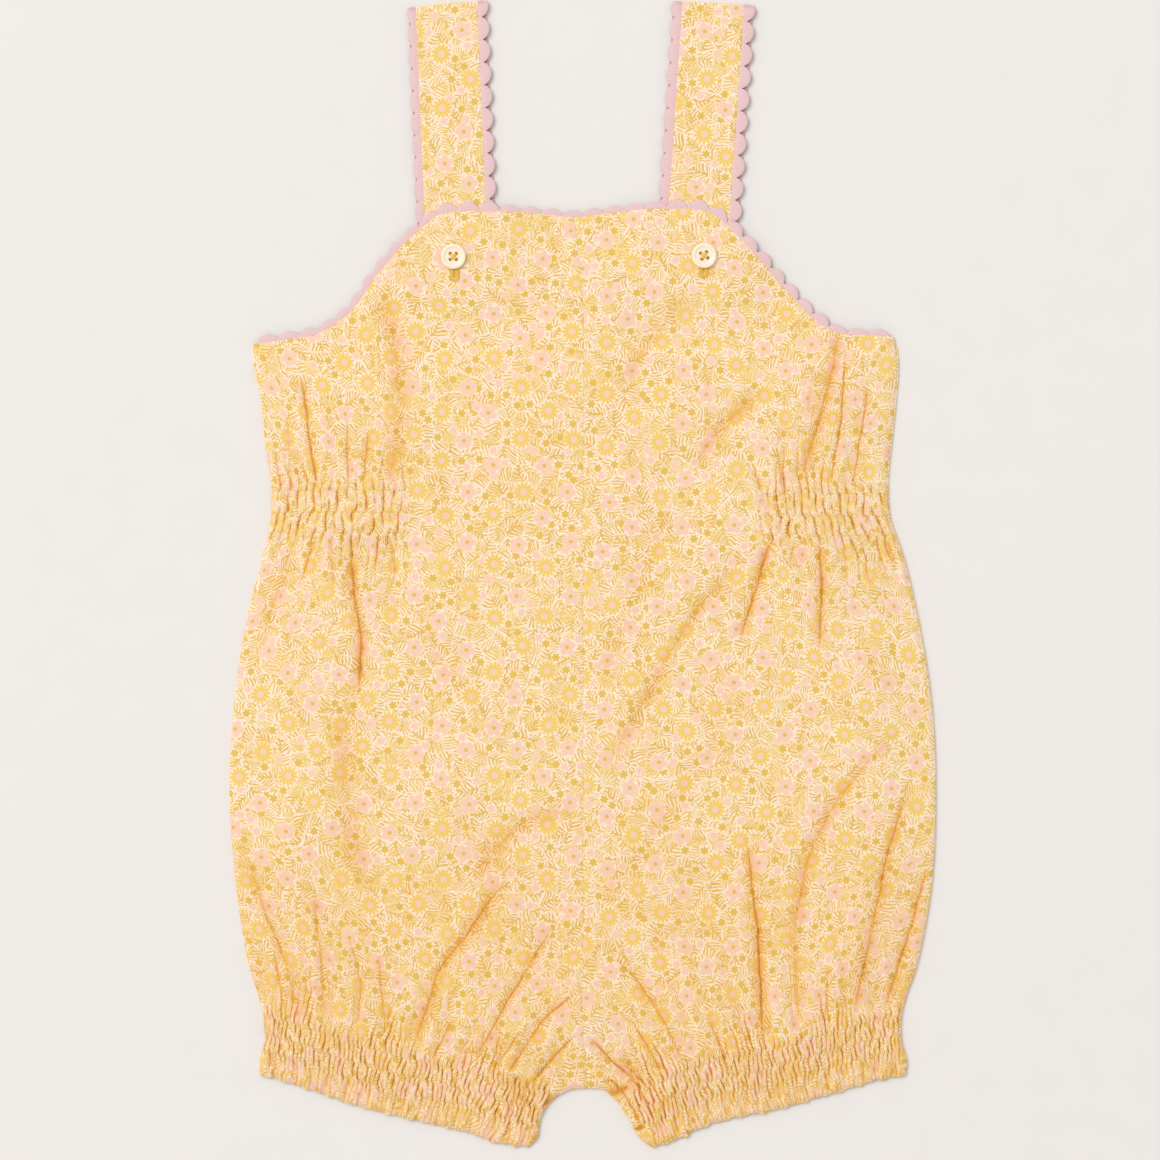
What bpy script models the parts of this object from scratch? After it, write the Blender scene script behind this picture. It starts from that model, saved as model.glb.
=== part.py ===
"""Baby romper, laid flat with its front up.

A cotton bib romper: two front halves joined down the middle, a back, two straps that are folded at
the shoulder and buttoned behind the bib, scalloped edging, and shirring at the waist sides and legs.

The tables are in millimetres: x across the garment, y from the hems to the shoulders, z up from the
surface that it lies on. "Out" columns are distances outwards from the middle, for the left half at
-x and the right half at +x. Meshes are written in metres, with the middle of the garment at x = y = 0.
"""

import math
from collections import namedtuple

import bmesh
import bpy
import numpy as np
from mathutils import Vector
from mathutils.geometry import delaunay_2d_cdt

NAME = "baby_romper"
MM = 0.001
MIDDLE = (-0.15, -0.86)     # middle of the whole garment in the tables' own x and y
LEFT, RIGHT = -1, 1

# A point of a panel: relief is how far its outer face is raised, line and step its place on a gather.
Spot = namedtuple("Spot", "x y relief line step", defaults=(0.0, None, 0))
Crease = namedtuple("Crease", "x0 y0 x1 y1 bow depth half_width")
Strap = namedtuple("Strap", "side fold_x fold_y lean tilt")

# ---- cloth and layers -------------------------------------------------------------------------
WALL = 1.2                  # cloth of the panels
STRAP_WALL = 1.0
EDGING_WALL = 0.9
SEAM_GAP = 0.3              # between pieces that are sewn together or lie on each other
STRAP_TOP = 2 * STRAP_WALL + SEAM_GAP       # two runs of strap on each other
OVER_BACK = WALL + SEAM_GAP                 # underside of the front where it lies on the back
OVER_STRAPS = STRAP_TOP + SEAM_GAP          # underside of the bib where it lies on a folded strap
BIB_DROOP = 0.5             # underside of the bib where nothing lies under it

# ---- outline of the front ---------------------------------------------------------------------
SIDE_TABLE = (
    # y, left out, right out: from the underarm down to the leg hem
    (104.0, 147.6, 141.3),
    (96.0, 148.4, 142.6),
    (78.0, 144.9, 141.7),
    (60.0, 143.1, 139.9),
    (42.0, 140.5, 138.2),
    (24.0, 140.4, 139.0),
    (14.0, 142.4, 142.0),
    (-21.0, 151.2, 150.8),
    (-57.0, 156.6, 156.6),
    (-102.0, 158.9, 158.6),
    (-138.0, 156.3, 157.0),
    (-174.0, 150.8, 150.8),
    (-202.0, 143.4, 143.0),
    (-211.0, 143.2, 143.3),
    (-219.0, 145.2, 145.6),
    (-225.8, 145.5, 145.2),
)
ARMHOLE_TABLE = (
    # left out, left y, right out, right y: from the bib's shoulder down to the underarm
    (66.2, 160.2, 64.4, 156.6),
    (77.9, 150.3, 77.4, 143.1),
    (91.4, 135.5, 90.9, 127.4),
    (104.9, 117.5, 104.4, 114.3),
    (111.6, 112.5, 111.2, 110.8),
    (118.4, 109.4, 117.9, 111.6),
    (131.9, 105.8, 129.0, 108.6),
    (147.6, 104.0, 141.3, 104.0),
)
BIB_TOP_TABLE = (
    # left out, left y, right out, right y: from the middle seam to the bib's shoulder
    (4.05, 159.8, -4.05, 159.8),
    (17.1, 161.1, 9.9, 161.6),
    (44.1, 162.5, 36.9, 163.6),
    (59.9, 162.0, 57.5, 161.6),
    (66.2, 160.2, 64.4, 156.6),
)
HEM_TABLE = (
    # left out, left y, right out, right y: from the outer corner of the leg to its inner tip
    (145.5, -225.8, 145.2, -225.8),
    (131.9, -229.5, 131.0, -228.6),
    (104.9, -238.6, 111.2, -234.5),
    (77.9, -245.7, 84.2, -242.0),
    (50.9, -252.0, 57.2, -248.0),
    (37.4, -256.6, 43.7, -254.2),
    (24.6, -258.2, 29.8, -260.1),
)
INSEAM_TABLE = (
    # left out, left y, right out, right y: from the leg's inner tip up to the middle of the crotch
    (24.6, -258.2, 29.8, -260.1),
    (20.8, -254.3, 25.6, -255.6),
    (19.4, -246.0, 20.6, -245.4),
    (14.6, -237.6, 14.4, -236.8),
    (6.4, -232.6, 9.6, -232.4),
    (-2.25, -231.7, 2.25, -231.7),
)
SEAM_TABLE = (
    # y, x: the middle seam, from the bib top down to the crotch
    (159.8, -4.05),
    (138.0, -1.2),
    (118.0, 0.0),
    (60.0, 0.0),
    (-150.0, 0.0),
    (-205.0, 0.0),
    (-231.7, 2.25),
)

# ---- back -------------------------------------------------------------------------------------
BACK_TOP = 102.0            # its straight top edge
BACK_SHOWS = 1.6            # it shows past the front's right side, above the waist
BACK_HEM_INSET = 0.8

# ---- how high the front lies ------------------------------------------------------------------
BODY_PUFF = 2.6             # air between front and back in the body
BIB_PUFF = 0.7
PUFF_REACH = 34.0           # from the side seam in to full height
BAND_HALF = 21.0            # the bib lies flat this far each side of a strap's middle
BAND_SLOPE = 10.0           # and slopes down over this width

# ---- shirring ---------------------------------------------------------------------------------
WAIST_ROWS = {LEFT: (37.3, 27.4, 18.4), RIGHT: (35.6, 25.6, 17.1)}
WAIST_INNER_END = {LEFT: 80.0, RIGHT: 81.5}
WAIST_GATHERS = 14
WAIST_RELIEF = 1.5
WAIST_SHAPE = (0.0, 0.75, 1.0, 0.75)       # across one gather, from trough to trough
CUFF_ROWS = (11.5, 19.0, 27.0)      # up from the hem
CUFF_GATHERS = 48
CUFF_RELIEF = 1.15
CUFF_LEAN = (4.5, 22.0)             # degrees inwards at the outer and the inner end
HEM_WAVES = 13                      # broad waves along a leg hem
HEM_SWING = 0.6

CREASE_TABLE = (
    # both ends, sideways bow, depth, half width
    # above the waist, left
    (-126.9, 90.0, -119.7, 39.0, 2.0, 2.0, 2.6),
    (-105.8, 66.0, -105.8, 40.0, 0.0, 1.3, 2.2),
    (-97.2, 56.0, -98.6, 39.0, 0.0, 1.2, 2.2),
    (-90.5, 122.0, -87.8, 60.0, 1.0, -1.2, 6.0),
    # below the waist, left
    (-101.4, 15.3, -102.8, -48.0, 1.0, 2.4, 3.2),
    (-123.1, 16.0, -127.5, 0.0, 0.0, 1.2, 2.4),
    (-113.0, 14.0, -112.0, -8.0, 0.0, 0.9, 2.6),
    # above the waist, right
    (104.0, 72.0, 100.4, 37.0, 0.0, 1.8, 2.4),
    (117.9, 104.0, 111.2, 40.0, 1.5, 2.1, 2.6),
    (127.8, 86.0, 120.6, 40.0, 1.0, 1.5, 2.4),
    (88.2, 56.0, 88.2, 38.0, 0.0, 1.2, 2.2),
    (107.5, 106.0, 104.4, 80.0, 0.0, 1.6, 2.4),
    (79.2, 81.5, 58.5, 61.7, 2.0, 1.3, 4.0),
    # below the waist, right
    (79.7, 38.0, 70.6, -27.0, -6.0, 2.3, 3.2),
    (71.1, 6.8, 33.8, -48.2, -3.0, 1.5, 5.0),
    (105.1, 13.0, 104.9, -26.0, 0.0, 1.7, 2.8),
    (132.3, 15.0, 135.5, 2.0, 0.0, 1.1, 2.4),
    # left leg
    (-66.2, -170.0, -75.6, -212.0, 2.0, 1.7, 3.4),
    (-89.6, -188.0, -87.3, -204.0, 0.0, 1.0, 2.6),
    (-32.4, -190.0, -50.0, -219.0, 2.0, 2.0, 3.4),
    (-18.0, -203.0, -31.0, -222.0, 1.0, 1.6, 2.8),
    (-2.8, -205.0, -21.0, -229.0, 2.0, 2.1, 2.8),
    (-117.0, -176.0, -112.0, -199.0, 0.0, 1.2, 3.0),
    (-138.5, -168.0, -133.5, -194.0, 0.0, 1.3, 2.8),
    # right leg
    (76.5, -132.0, 80.1, -203.0, 1.5, 2.5, 3.2),
    (143.0, -155.0, 134.5, -194.0, 1.0, 1.8, 2.8),
    (122.4, -182.0, 120.2, -200.0, 0.0, 1.2, 2.8),
    (56.3, -203.0, 65.7, -219.0, 0.0, 1.7, 2.8),
    (24.5, -203.0, 35.0, -222.0, 1.0, 1.8, 2.8),
    (4.0, -206.0, 19.0, -230.0, -2.0, 2.0, 2.8),
    (100.0, -176.0, 99.0, -204.0, 0.0, 1.1, 3.0),
)
CREASE_SHOULDER = 1.75      # raised sides of a crease, in half widths from its middle

# ---- straps and edging ------------------------------------------------------------------------
STRAP_HALF = 14.5           # half the strap's width
STRAP_END = 129.0           # lower end of the front run, behind the bib
STRAP_TABLE = (
    # side, x and y of the shoulder fold, lean (x for each y downwards), tilt of the fold line
    (LEFT, -61.4, 256.0, 0.041, 0.10),
    (RIGHT, 58.6, 256.4, -0.067, -0.05),
)
STRAPS = [Strap(*row) for row in STRAP_TABLE]
FOLD_STEPS = 6
SCALLOP_PITCH = 10.3
SCALLOP_REACH = 4.9         # crown of a scallop, out from the cloth's edge
SCALLOP_VALLEY = 1.7
SCALLOP_SHAPE = (0.0, 0.8, 1.0, 0.8)        # height at each quarter of a scallop
EDGING_ENDS = 2.0           # the bib's edging stops this far short of the side seams

# ---- buttons ----------------------------------------------------------------------------------
BUTTON_TABLE = (
    # name, x, y
    ("button_left", -58.2, 142.0),
    ("button_right", 54.4, 142.4),
)
BUTTON_PROFILE = (
    # radius, height: over the dish and the rim, down the side and back to the middle underneath
    (0.0, 1.35),
    (3.5, 1.35),
    (4.2, 1.95),
    (4.9, 2.1),
    (5.65, 1.3),
    (5.2, 0.35),
    (4.2, 0.0),
    (0.0, 0.0),
)
BUTTON_SIDES = 28
HOLE_RADIUS = 0.75
HOLE_OFFSET = 1.3           # of each of the four holes, in x and y from the button's middle
HOLE_SIDES = 10

# ---- colours, linear --------------------------------------------------------------------------
PRINTED_COTTON = ("printed_cotton", (0.90, 0.66, 0.34), 0.85)
PINK_EDGING = ("pink_edging", (0.82, 0.58, 0.57), 0.80)
CREAM_BUTTON = ("cream_button", (0.90, 0.79, 0.58), 0.35)


# ---- curves -----------------------------------------------------------------------------------
def smooth(t):
    """0 below t = 0, 1 above t = 1, with a soft start and end."""
    t = min(max(t, 0.0), 1.0)
    return t * t * (3.0 - 2.0 * t)


def mix(a, b, t):
    return a + (b - a) * t


def smooth_path(knots, step):
    """Points about a step apart on a smooth curve through the knots, ends included."""
    knots = [Vector(knot) for knot in knots]
    chords = [(b - a).length for a, b in zip(knots, knots[1:])]
    slopes = [(b - a) / chord for a, b, chord in zip(knots, knots[1:], chords)]
    tangents = [slopes[0]]
    for i in range(1, len(knots) - 1):
        before, after = chords[i - 1], chords[i]
        tangents.append((slopes[i] * before + slopes[i - 1] * after) / (before + after))
    tangents.append(slopes[-1])
    points = [knots[0]]
    for i, chord in enumerate(chords):
        pieces = max(1, round(chord / step))
        for k in range(1, pieces + 1):
            t = k / pieces
            points.append(
                knots[i] * (2 * t**3 - 3 * t**2 + 1)
                + tangents[i] * chord * (t**3 - 2 * t**2 + t)
                + knots[i + 1] * (3 * t**2 - 2 * t**3)
                + tangents[i + 1] * chord * (t**3 - t**2)
            )
    return points


def spaced(points, distances):
    """The points at the given distances along a polyline, with the unit direction at each."""
    points = [Vector(point) for point in points]
    found = []
    start = 0.0
    i = 0
    for distance in distances:
        chord = (points[i + 1] - points[i]).length
        while start + chord < distance and i < len(points) - 2:
            start += chord
            i += 1
            chord = (points[i + 1] - points[i]).length
        along = (points[i + 1] - points[i]) / chord
        found.append((points[i] + along * (distance - start), along))
    return found


def path_length(points):
    return sum((b - a).length for a, b in zip(points, points[1:]))


# ---- outline ----------------------------------------------------------------------------------
def side_columns(table, side):
    """The (x, y) knots of one half, from a table with left and right columns."""
    first = 0 if side == LEFT else 2
    return [(side * row[first], row[first + 1]) for row in table]


def side_run(side, shows=0.0):
    """Down the side seam; shows is how much narrower the front is than the back above the waist."""
    column = 1 if side == LEFT else 2
    knots = []
    for row in SIDE_TABLE:
        y = row[0]
        narrower = shows * smooth((y - 14.0) / 20.0)
        knots.append((side * (row[column] - narrower), y))
    return smooth_path(knots, 9.0)


def front_side_run(side):
    return side_run(side, BACK_SHOWS if side == RIGHT else 0.0)


def armhole_run(side):
    knots = side_columns(ARMHOLE_TABLE, side)
    knots[-1] = tuple(front_side_run(side)[0])
    return smooth_path(knots, 5.0)


def bib_top_run(side):
    return smooth_path(side_columns(BIB_TOP_TABLE, side), 5.0)


def hem_run(side, step):
    return smooth_path(side_columns(HEM_TABLE, side), step)


def inseam_run(side):
    return smooth_path(side_columns(INSEAM_TABLE, side), 3.5)


def seam_run():
    return smooth_path([(x, y) for y, x in SEAM_TABLE], 12.0)


def stretches(runs):
    """Both ends of every short stretch of some runs, as two arrays."""
    starts = [point for run in runs for point in run[:-1]]
    ends = [point for run in runs for point in run[1:]]
    return np.array(starts), np.array(ends)


def outer_runs(side):
    hem = hem_run(side, 6.0)
    return bib_top_run(side), armhole_run(side), front_side_run(side), hem, inseam_run(side)


EDGE_STARTS, EDGE_ENDS = stretches(outer_runs(LEFT) + outer_runs(RIGHT))
HEM_STARTS, HEM_ENDS = stretches((hem_run(LEFT, 6.0), hem_run(RIGHT, 6.0)))


def edge_distance(x, y, starts=EDGE_STARTS, ends=EDGE_ENDS):
    """Distance from a point to the nearest stretch of an edge."""
    point = np.array((x, y))
    along = ends - starts
    t = np.clip(((point - starts) * along).sum(1) / (along * along).sum(1), 0.0, 1.0)
    nearest = starts + along * t[:, None]
    return float(np.sqrt(((point - nearest) ** 2).sum(1).min()))


def inside(x, y, loop):
    """Whether a point is inside a closed loop, by counting the edges to its right."""
    xs, ys = loop[:, 0], loop[:, 1]
    next_xs, next_ys = np.roll(xs, -1), np.roll(ys, -1)
    crossed = (ys > y) != (next_ys > y)
    rise = np.where(next_ys == ys, 1.0, next_ys - ys)
    reach = xs + (y - ys) / rise * (next_xs - xs)
    return bool(np.count_nonzero(crossed & (x < reach)) % 2)


# ---- how high the front lies ------------------------------------------------------------------
def crease_path(crease):
    """Points along a crease, which bows sideways in its middle."""
    start = Vector((crease.x0, crease.y0))
    end = Vector((crease.x1, crease.y1))
    across = Vector((start.y - end.y, end.x - start.x)).normalized()
    middle = (start + end) / 2 + across * crease.bow
    return smooth_path((start, middle, end), 6.5)


CREASES = [Crease(*row) for row in CREASE_TABLE]
CREASE_STRETCHES = [(crease, *stretches([crease_path(crease)])) for crease in CREASES]


def crease_height(x, y):
    """A trough with raised sides along each crease, which fades out at the crease's ends."""
    height = 0.0
    point = np.array((x, y))
    for crease, starts, ends in CREASE_STRETCHES:
        along = ends - starts
        t = np.clip(((point - starts) * along).sum(1) / (along * along).sum(1), 0.0, 1.0)
        squares = ((point - starts - along * t[:, None]) ** 2).sum(1)
        nearest = int(squares.argmin())
        q = math.sqrt(squares[nearest]) / crease.half_width
        if q < 4.0:
            share = (nearest + t[nearest]) / len(starts)
            fade = smooth(share / 0.25) * smooth((1.0 - share) / 0.25)
            height -= crease.depth * fade * (1.0 - q * q) * math.exp(-q * q / 2.0)
    return height


def strap_middle(strap, y):
    """The x of a strap's middle line at a height."""
    return strap.fold_x + (strap.fold_y - y) * strap.lean


def shirred_share(x, y):
    """1 in the shirring of the waist and the legs, 0 well away from it."""
    side = LEFT if x < 0 else RIGHT
    top, middle, low = WAIST_ROWS[side]
    across = smooth((abs(x) - WAIST_INNER_END[side] + 6.0) / 6.0)
    waist = across * (1.0 - smooth((abs(y - middle) - (top - low) / 2 - 4.0) / 8.0))
    legs = 1.0 - smooth((edge_distance(x, y, HEM_STARTS, HEM_ENDS) - CUFF_ROWS[-1] - 2.0) / 8.0)
    return max(waist, legs)


def band_share(x, y):
    """1 where the bib lies flat on a strap, 0 well away from the straps."""
    share = 0.0
    for strap in STRAPS:
        off = abs(x - strap_middle(strap, y)) - BAND_HALF
        share = max(share, 1.0 - smooth(off / BAND_SLOPE))
    return share * smooth((y - 96.0) / 8.0)


def underside(x, y):
    """Height of the front's underside above the surface."""
    inset = edge_distance(x, y)
    on_body = 1.0 - smooth((y - 60.0) / 70.0)
    base = mix(OVER_BACK, BIB_DROOP, smooth((y - BACK_TOP - 6.0) / 14.0))
    puff = mix(BIB_PUFF, BODY_PUFF, on_body) * smooth(inset / PUFF_REACH)
    crease = crease_height(x, y) * smooth(inset / 6.0) * (1.0 - shirred_share(x, y))
    loose = max(base, base + puff + crease)
    on_straps = mix(OVER_BACK, OVER_STRAPS, smooth((y - 116.0) / 10.0))
    return mix(loose, on_straps, band_share(x, y))


# ---- shirring ---------------------------------------------------------------------------------
def uneven(k, spread):
    """A factor near 1 that differs from gather to gather."""
    return 1.0 + spread * (0.6 * math.sin(2.4 * k) + 0.4 * math.sin(5.1 * k + 1.0))


def cuff_lines(side):
    """For each crest and trough of a leg's shirring, its point on the hem and its direction up."""
    hem = hem_run(side, 1.5)
    length = path_length(hem)
    count = 2 * CUFF_GATHERS
    lines = []
    for k, (foot, _) in enumerate(spaced(hem, [length * k / count for k in range(count + 1)])):
        lean = math.radians(mix(CUFF_LEAN[0], CUFF_LEAN[1], k / count))
        lines.append((foot, Vector((-side * math.sin(lean), math.cos(lean)))))
    return lines


def cuff_spots(side):
    """The crests and troughs of a leg's shirring, row by row up from the hem."""
    low, middle, high = CUFF_ROWS
    rows = (
        # up from the hem, relief of the crests, whether the troughs have a point too
        (low / 2, 0.9, True),
        (low, 0.15, False),
        ((low + middle) / 2, 1.0, True),
        (middle, 0.15, False),
        ((middle + high) / 2, 1.0, True),
        (high, 0.2, False),
        (high + 6.0, 0.6, True),
    )
    lines = cuff_lines(side)
    spots = []
    for step, (up, relief, troughs) in enumerate(rows, start=1):
        for k in range(1, len(lines) - 1):
            crest = k % 2 == 1
            if not crest and not troughs:
                continue
            foot, direction = lines[k]
            height = CUFF_RELIEF * relief * uneven(k, 0.3) if crest else 0.0
            spot = foot + direction * up
            spots.append(Spot(spot.x, spot.y, height, ("cuff", k), step))
    return spots


def hem_spots(side):
    """The hem swings out at each crest and in at each trough, and in broader waves."""
    lines = cuff_lines(side)
    spots = []
    for k, (foot, direction) in enumerate(lines):
        crest = k % 2 == 1
        wave = math.sin(2 * math.pi * HEM_WAVES * k / len(lines)) * uneven(k // 6, 0.6)
        swing = HEM_SWING * (0.6 * wave + (0.4 if crest else -0.4))
        height = CUFF_RELIEF * uneven(k, 0.4) * (1.0 + 0.3 * wave) if crest else 0.15
        spot = foot - direction * swing
        spots.append(Spot(spot.x, spot.y, height, ("cuff", k), 0))
    return spots


def waist_spots(side):
    """The crests, shoulders and troughs of the shirring at one side of the waist."""
    top, middle, low = WAIST_ROWS[side]
    rows = (
        # y, relief, whether only the crests have a point
        (top + 15.0, 0.35, True),
        (top + 7.0, 0.7, False),
        (top, 0.25, True),
        ((top + middle) / 2, 1.0, False),
        (middle, 0.25, True),
        ((middle + low) / 2, 1.0, False),
        (low, 0.25, True),
        (low - 7.0, 0.7, False),
        (low - 15.0, 0.35, True),
    )
    inner = WAIST_INNER_END[side]
    outer = 138.0 if side == LEFT else 134.8
    columns = len(WAIST_SHAPE)
    count = columns * WAIST_GATHERS
    spots = []
    for step, (y, relief, crests_only) in enumerate(rows):
        for k in range(1, count):
            if crests_only and k % columns != columns // 2:
                continue
            height = WAIST_RELIEF * relief * WAIST_SHAPE[k % columns] * uneven(k // columns + 7, 0.3)
            spots.append(Spot(side * mix(inner, outer, k / count), y, height, ("waist", k), step))
    return spots


# ---- panel meshes -----------------------------------------------------------------------------
def front_rim(side):
    """Spots round one half of the front: top, armhole, side, hem, inseam, middle seam."""
    gap = side * SEAM_GAP / 2
    top = bib_top_run(side)[1:-1]
    down = armhole_run(side)[:-1] + front_side_run(side)[:-1]
    up = inseam_run(side)[1:-1]
    seam = [point + Vector((gap, 0.0)) for point in reversed(seam_run())]
    rim = [Spot(point.x, point.y) for point in top + down]
    rim += hem_spots(side)
    rim += [Spot(point.x, point.y) for point in up + seam]
    return rim if side == LEFT else rim[::-1]


def band_spots():
    """Spots along the flat bands over the straps, where the bib starts to slope down."""
    across = (-BAND_HALF - BAND_SLOPE, -BAND_HALF, 0.0, BAND_HALF, BAND_HALF + BAND_SLOPE)
    spots = []
    for strap in STRAPS:
        for y in np.arange(98.0, 162.0, 7.0):
            spots += [Spot(strap_middle(strap, y) + off, float(y)) for off in across]
        for y in (116.0, 127.0):
            spots += [Spot(strap_middle(strap, y) + off, y) for off in (-BAND_HALF / 2, BAND_HALF / 2)]
    return spots


def crease_spots():
    """Spots along the middle and the raised sides of each crease."""
    spots = []
    for crease in CREASES:
        path = crease_path(crease)
        along = (path[-1] - path[0]).normalized()
        across = Vector((-along.y, along.x)) * CREASE_SHOULDER * crease.half_width
        for point in path:
            spots += [Spot(*spot) for spot in (point, point + across, point - across)]
    return spots


def grid_spots(spacing):
    spots = []
    for row, y in enumerate(np.arange(-256.0, 164.0, spacing * 0.87)):
        for x in np.arange(-160.0, 161.0, spacing):
            spots.append(Spot(float(x) + spacing / 2 * (row % 2), float(y)))
    return spots


def thinned(loop, kept, candidates, clearance, edge_clearance):
    """Those kept, and the candidates inside the loop that keep a clearance from all others."""
    starts = np.array([spot[:2] for spot in loop])
    ends = np.roll(starts, -1, axis=0)
    kept = list(kept)
    for candidate in candidates:
        x, y = candidate[:2]
        if not inside(x, y, starts) or edge_distance(x, y, starts, ends) < edge_clearance:
            continue
        if kept:
            places = np.array([spot[:2] for spot in kept])
            if ((places - (x, y)) ** 2).sum(1).min() < clearance**2:
                continue
        kept.append(candidate)
    return kept


def gather_edges(spots):
    """Pairs of spots that follow each other on a gather, as numbers into the spots."""
    lines = {}
    for i, spot in enumerate(spots):
        if spot.line is not None:
            lines.setdefault(spot.line, []).append((spot.step, i))
    edges = []
    for line in lines.values():
        line.sort()
        for (step, i), (next_step, j) in zip(line, line[1:]):
            if next_step - step <= 2:
                edges.append((i, j))
    return edges


def triangles_in(loop, inner, gathered):
    """Triangles over a closed loop and the spots inside it, as numbers into loop + inner."""
    spots = list(loop) + list(inner)
    count = len(loop)
    edges = [(i, (i + 1) % count) for i in range(count)]
    if gathered:
        edges += gather_edges(spots)
    places = [Vector(spot[:2]) for spot in spots]
    found = delaunay_2d_cdt(places, edges, [], 1, 1e-6)
    faces, sources = found[2:4]
    if any(len(source) == 0 for source in sources):
        raise ValueError("the panel's outline or its gathers cross")
    return [[sources[corner][0] for corner in face] for face in faces]


def make_material(piece_name, finish):
    kind, colour, roughness = finish
    material = bpy.data.materials.new(f"{kind} of {piece_name}")
    material.use_nodes = True
    shader = material.node_tree.nodes["Principled BSDF"]
    shader.inputs["Base Color"].default_value = (*colour, 1.0)
    shader.inputs["Roughness"].default_value = roughness
    shader.inputs["Metallic"].default_value = 0.0
    return material


def add_object(name, mesh, finish):
    """Put a mesh in the romper's collection, with a material of its own."""
    piece = bpy.data.objects.new(name, mesh)
    bpy.data.collections[NAME].objects.link(piece)
    mesh.materials.append(make_material(name, finish))
    mesh.shade_smooth()
    mesh.set_sharp_from_angle(angle=math.radians(50))
    return piece


def to_metres(x, y, z):
    return Vector(((x - MIDDLE[0]) * MM, (y - MIDDLE[1]) * MM, z * MM))


def front_half(name, side, finish):
    """One half of the front: gathers raised in the outer face, over a plain underside."""
    rim = front_rim(side)
    gathers = thinned(rim, [], cuff_spots(side) + waist_spots(side), 0.7, 0.9)
    shaped = thinned(rim, gathers, crease_spots() + band_spots(), 2.6, 1.8)
    outer = thinned(rim, shaped, grid_spots(15.0), 6.5, 5.0)
    plain = thinned(rim, [], crease_spots() + band_spots(), 2.6, 1.8)
    plain = thinned(rim, plain, grid_spots(17.0), 8.0, 5.0)

    bm = bmesh.new()
    lower_rim = []
    upper_rim = []
    for spot in rim:
        height = underside(spot.x, spot.y)
        lower_rim.append(bm.verts.new(to_metres(spot.x, spot.y, height)))
        upper_rim.append(bm.verts.new(to_metres(spot.x, spot.y, height + WALL + spot.relief)))
    upper = list(upper_rim)
    for spot in outer:
        height = underside(spot.x, spot.y) + WALL + spot.relief
        upper.append(bm.verts.new(to_metres(spot.x, spot.y, height)))
    lower = list(lower_rim)
    for spot in plain:
        lower.append(bm.verts.new(to_metres(spot.x, spot.y, underside(spot.x, spot.y))))
    for face in triangles_in(rim, outer, True):
        bm.faces.new([upper[i] for i in face])
    for face in triangles_in(rim, plain, False):
        bm.faces.new([lower[i] for i in reversed(face)])
    for i in range(len(rim)):
        j = (i + 1) % len(rim)
        bm.faces.new((lower_rim[i], lower_rim[j], upper_rim[j], upper_rim[i]))
    mesh = bpy.data.meshes.new(name)
    bm.to_mesh(mesh)
    bm.free()
    return add_object(name, mesh, finish)


def back_panel():
    """The back: a flat wall from the straight top edge to both hems."""
    loop = []
    for side in (LEFT, RIGHT):
        run = [point for point in side_run(side) if point.y < BACK_TOP - 1.0]
        start = side_run(side)[0]
        first = run[0]
        share = (start.y - BACK_TOP) / (start.y - first.y)
        half = [Vector((mix(start.x, first.x, share), BACK_TOP))] + run[:-1]
        half += [point + Vector((0.0, BACK_HEM_INSET)) for point in hem_run(side, 7.0)]
        half += inseam_run(side)[1:]
        loop += half if side == LEFT else half[::-1][1:]
    bm = bmesh.new()
    bm.faces.new([bm.verts.new(to_metres(point.x, point.y, WALL / 2)) for point in loop])
    mesh = bpy.data.meshes.new("back_panel")
    bm.to_mesh(mesh)
    bm.free()
    piece = add_object("back_panel", mesh, PRINTED_COTTON)
    thicken(piece, WALL)
    return piece


def thicken(piece, wall):
    """Give an open surface its wall, half to each side."""
    modifier = piece.modifiers.new("wall", "SOLIDIFY")
    modifier.thickness = wall * MM
    modifier.offset = 0.0


# ---- straps and edging ------------------------------------------------------------------------
FOLD_RADIUS = (STRAP_WALL + SEAM_GAP) / 2
FOLD_HALF_LENGTH = math.pi * FOLD_RADIUS / 2


def strap_station(strap, along):
    """(y, z) of a strap's middle surface at a distance from its fold; the back run is negative."""
    centre_y = strap.fold_y - FOLD_RADIUS - STRAP_WALL / 2
    centre_z = STRAP_WALL / 2 + FOLD_RADIUS
    if abs(along) < FOLD_HALF_LENGTH:
        angle = along / FOLD_RADIUS
        return centre_y + FOLD_RADIUS * math.cos(angle), centre_z + FOLD_RADIUS * math.sin(angle)
    y = centre_y - (abs(along) - FOLD_HALF_LENGTH)
    return y, centre_z + math.copysign(FOLD_RADIUS, along)


def strap_point(strap, along, off):
    """A point of the strap or its edging, at an offset to the right of its middle line."""
    y, z = strap_station(strap, along)
    tilt = strap.tilt * smooth((y - BACK_TOP) / (strap.fold_y - BACK_TOP))
    return strap_middle(strap, y) + off, y + off * tilt, z


def strap_lengths(strap):
    """How far the back and the front run reach from the fold."""
    top = strap.fold_y - FOLD_RADIUS - STRAP_WALL / 2
    back = top - (BACK_TOP + SEAM_GAP) + FOLD_HALF_LENGTH
    front = top - STRAP_END + FOLD_HALF_LENGTH
    return back, front


def fold_stations():
    return [mix(-FOLD_HALF_LENGTH, FOLD_HALF_LENGTH, k / FOLD_STEPS) for k in range(FOLD_STEPS + 1)]


def ribbon(name, rows, wall, finish):
    """A strip with a wall, from pairs of edge points."""
    bm = bmesh.new()
    pairs = [[bm.verts.new(to_metres(*point)) for point in pair] for pair in rows]
    for before, after in zip(pairs, pairs[1:]):
        bm.faces.new((before[0], before[1], after[1], after[0]))
    mesh = bpy.data.meshes.new(name)
    bm.to_mesh(mesh)
    bm.free()
    piece = add_object(name, mesh, finish)
    thicken(piece, wall)
    return piece


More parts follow.
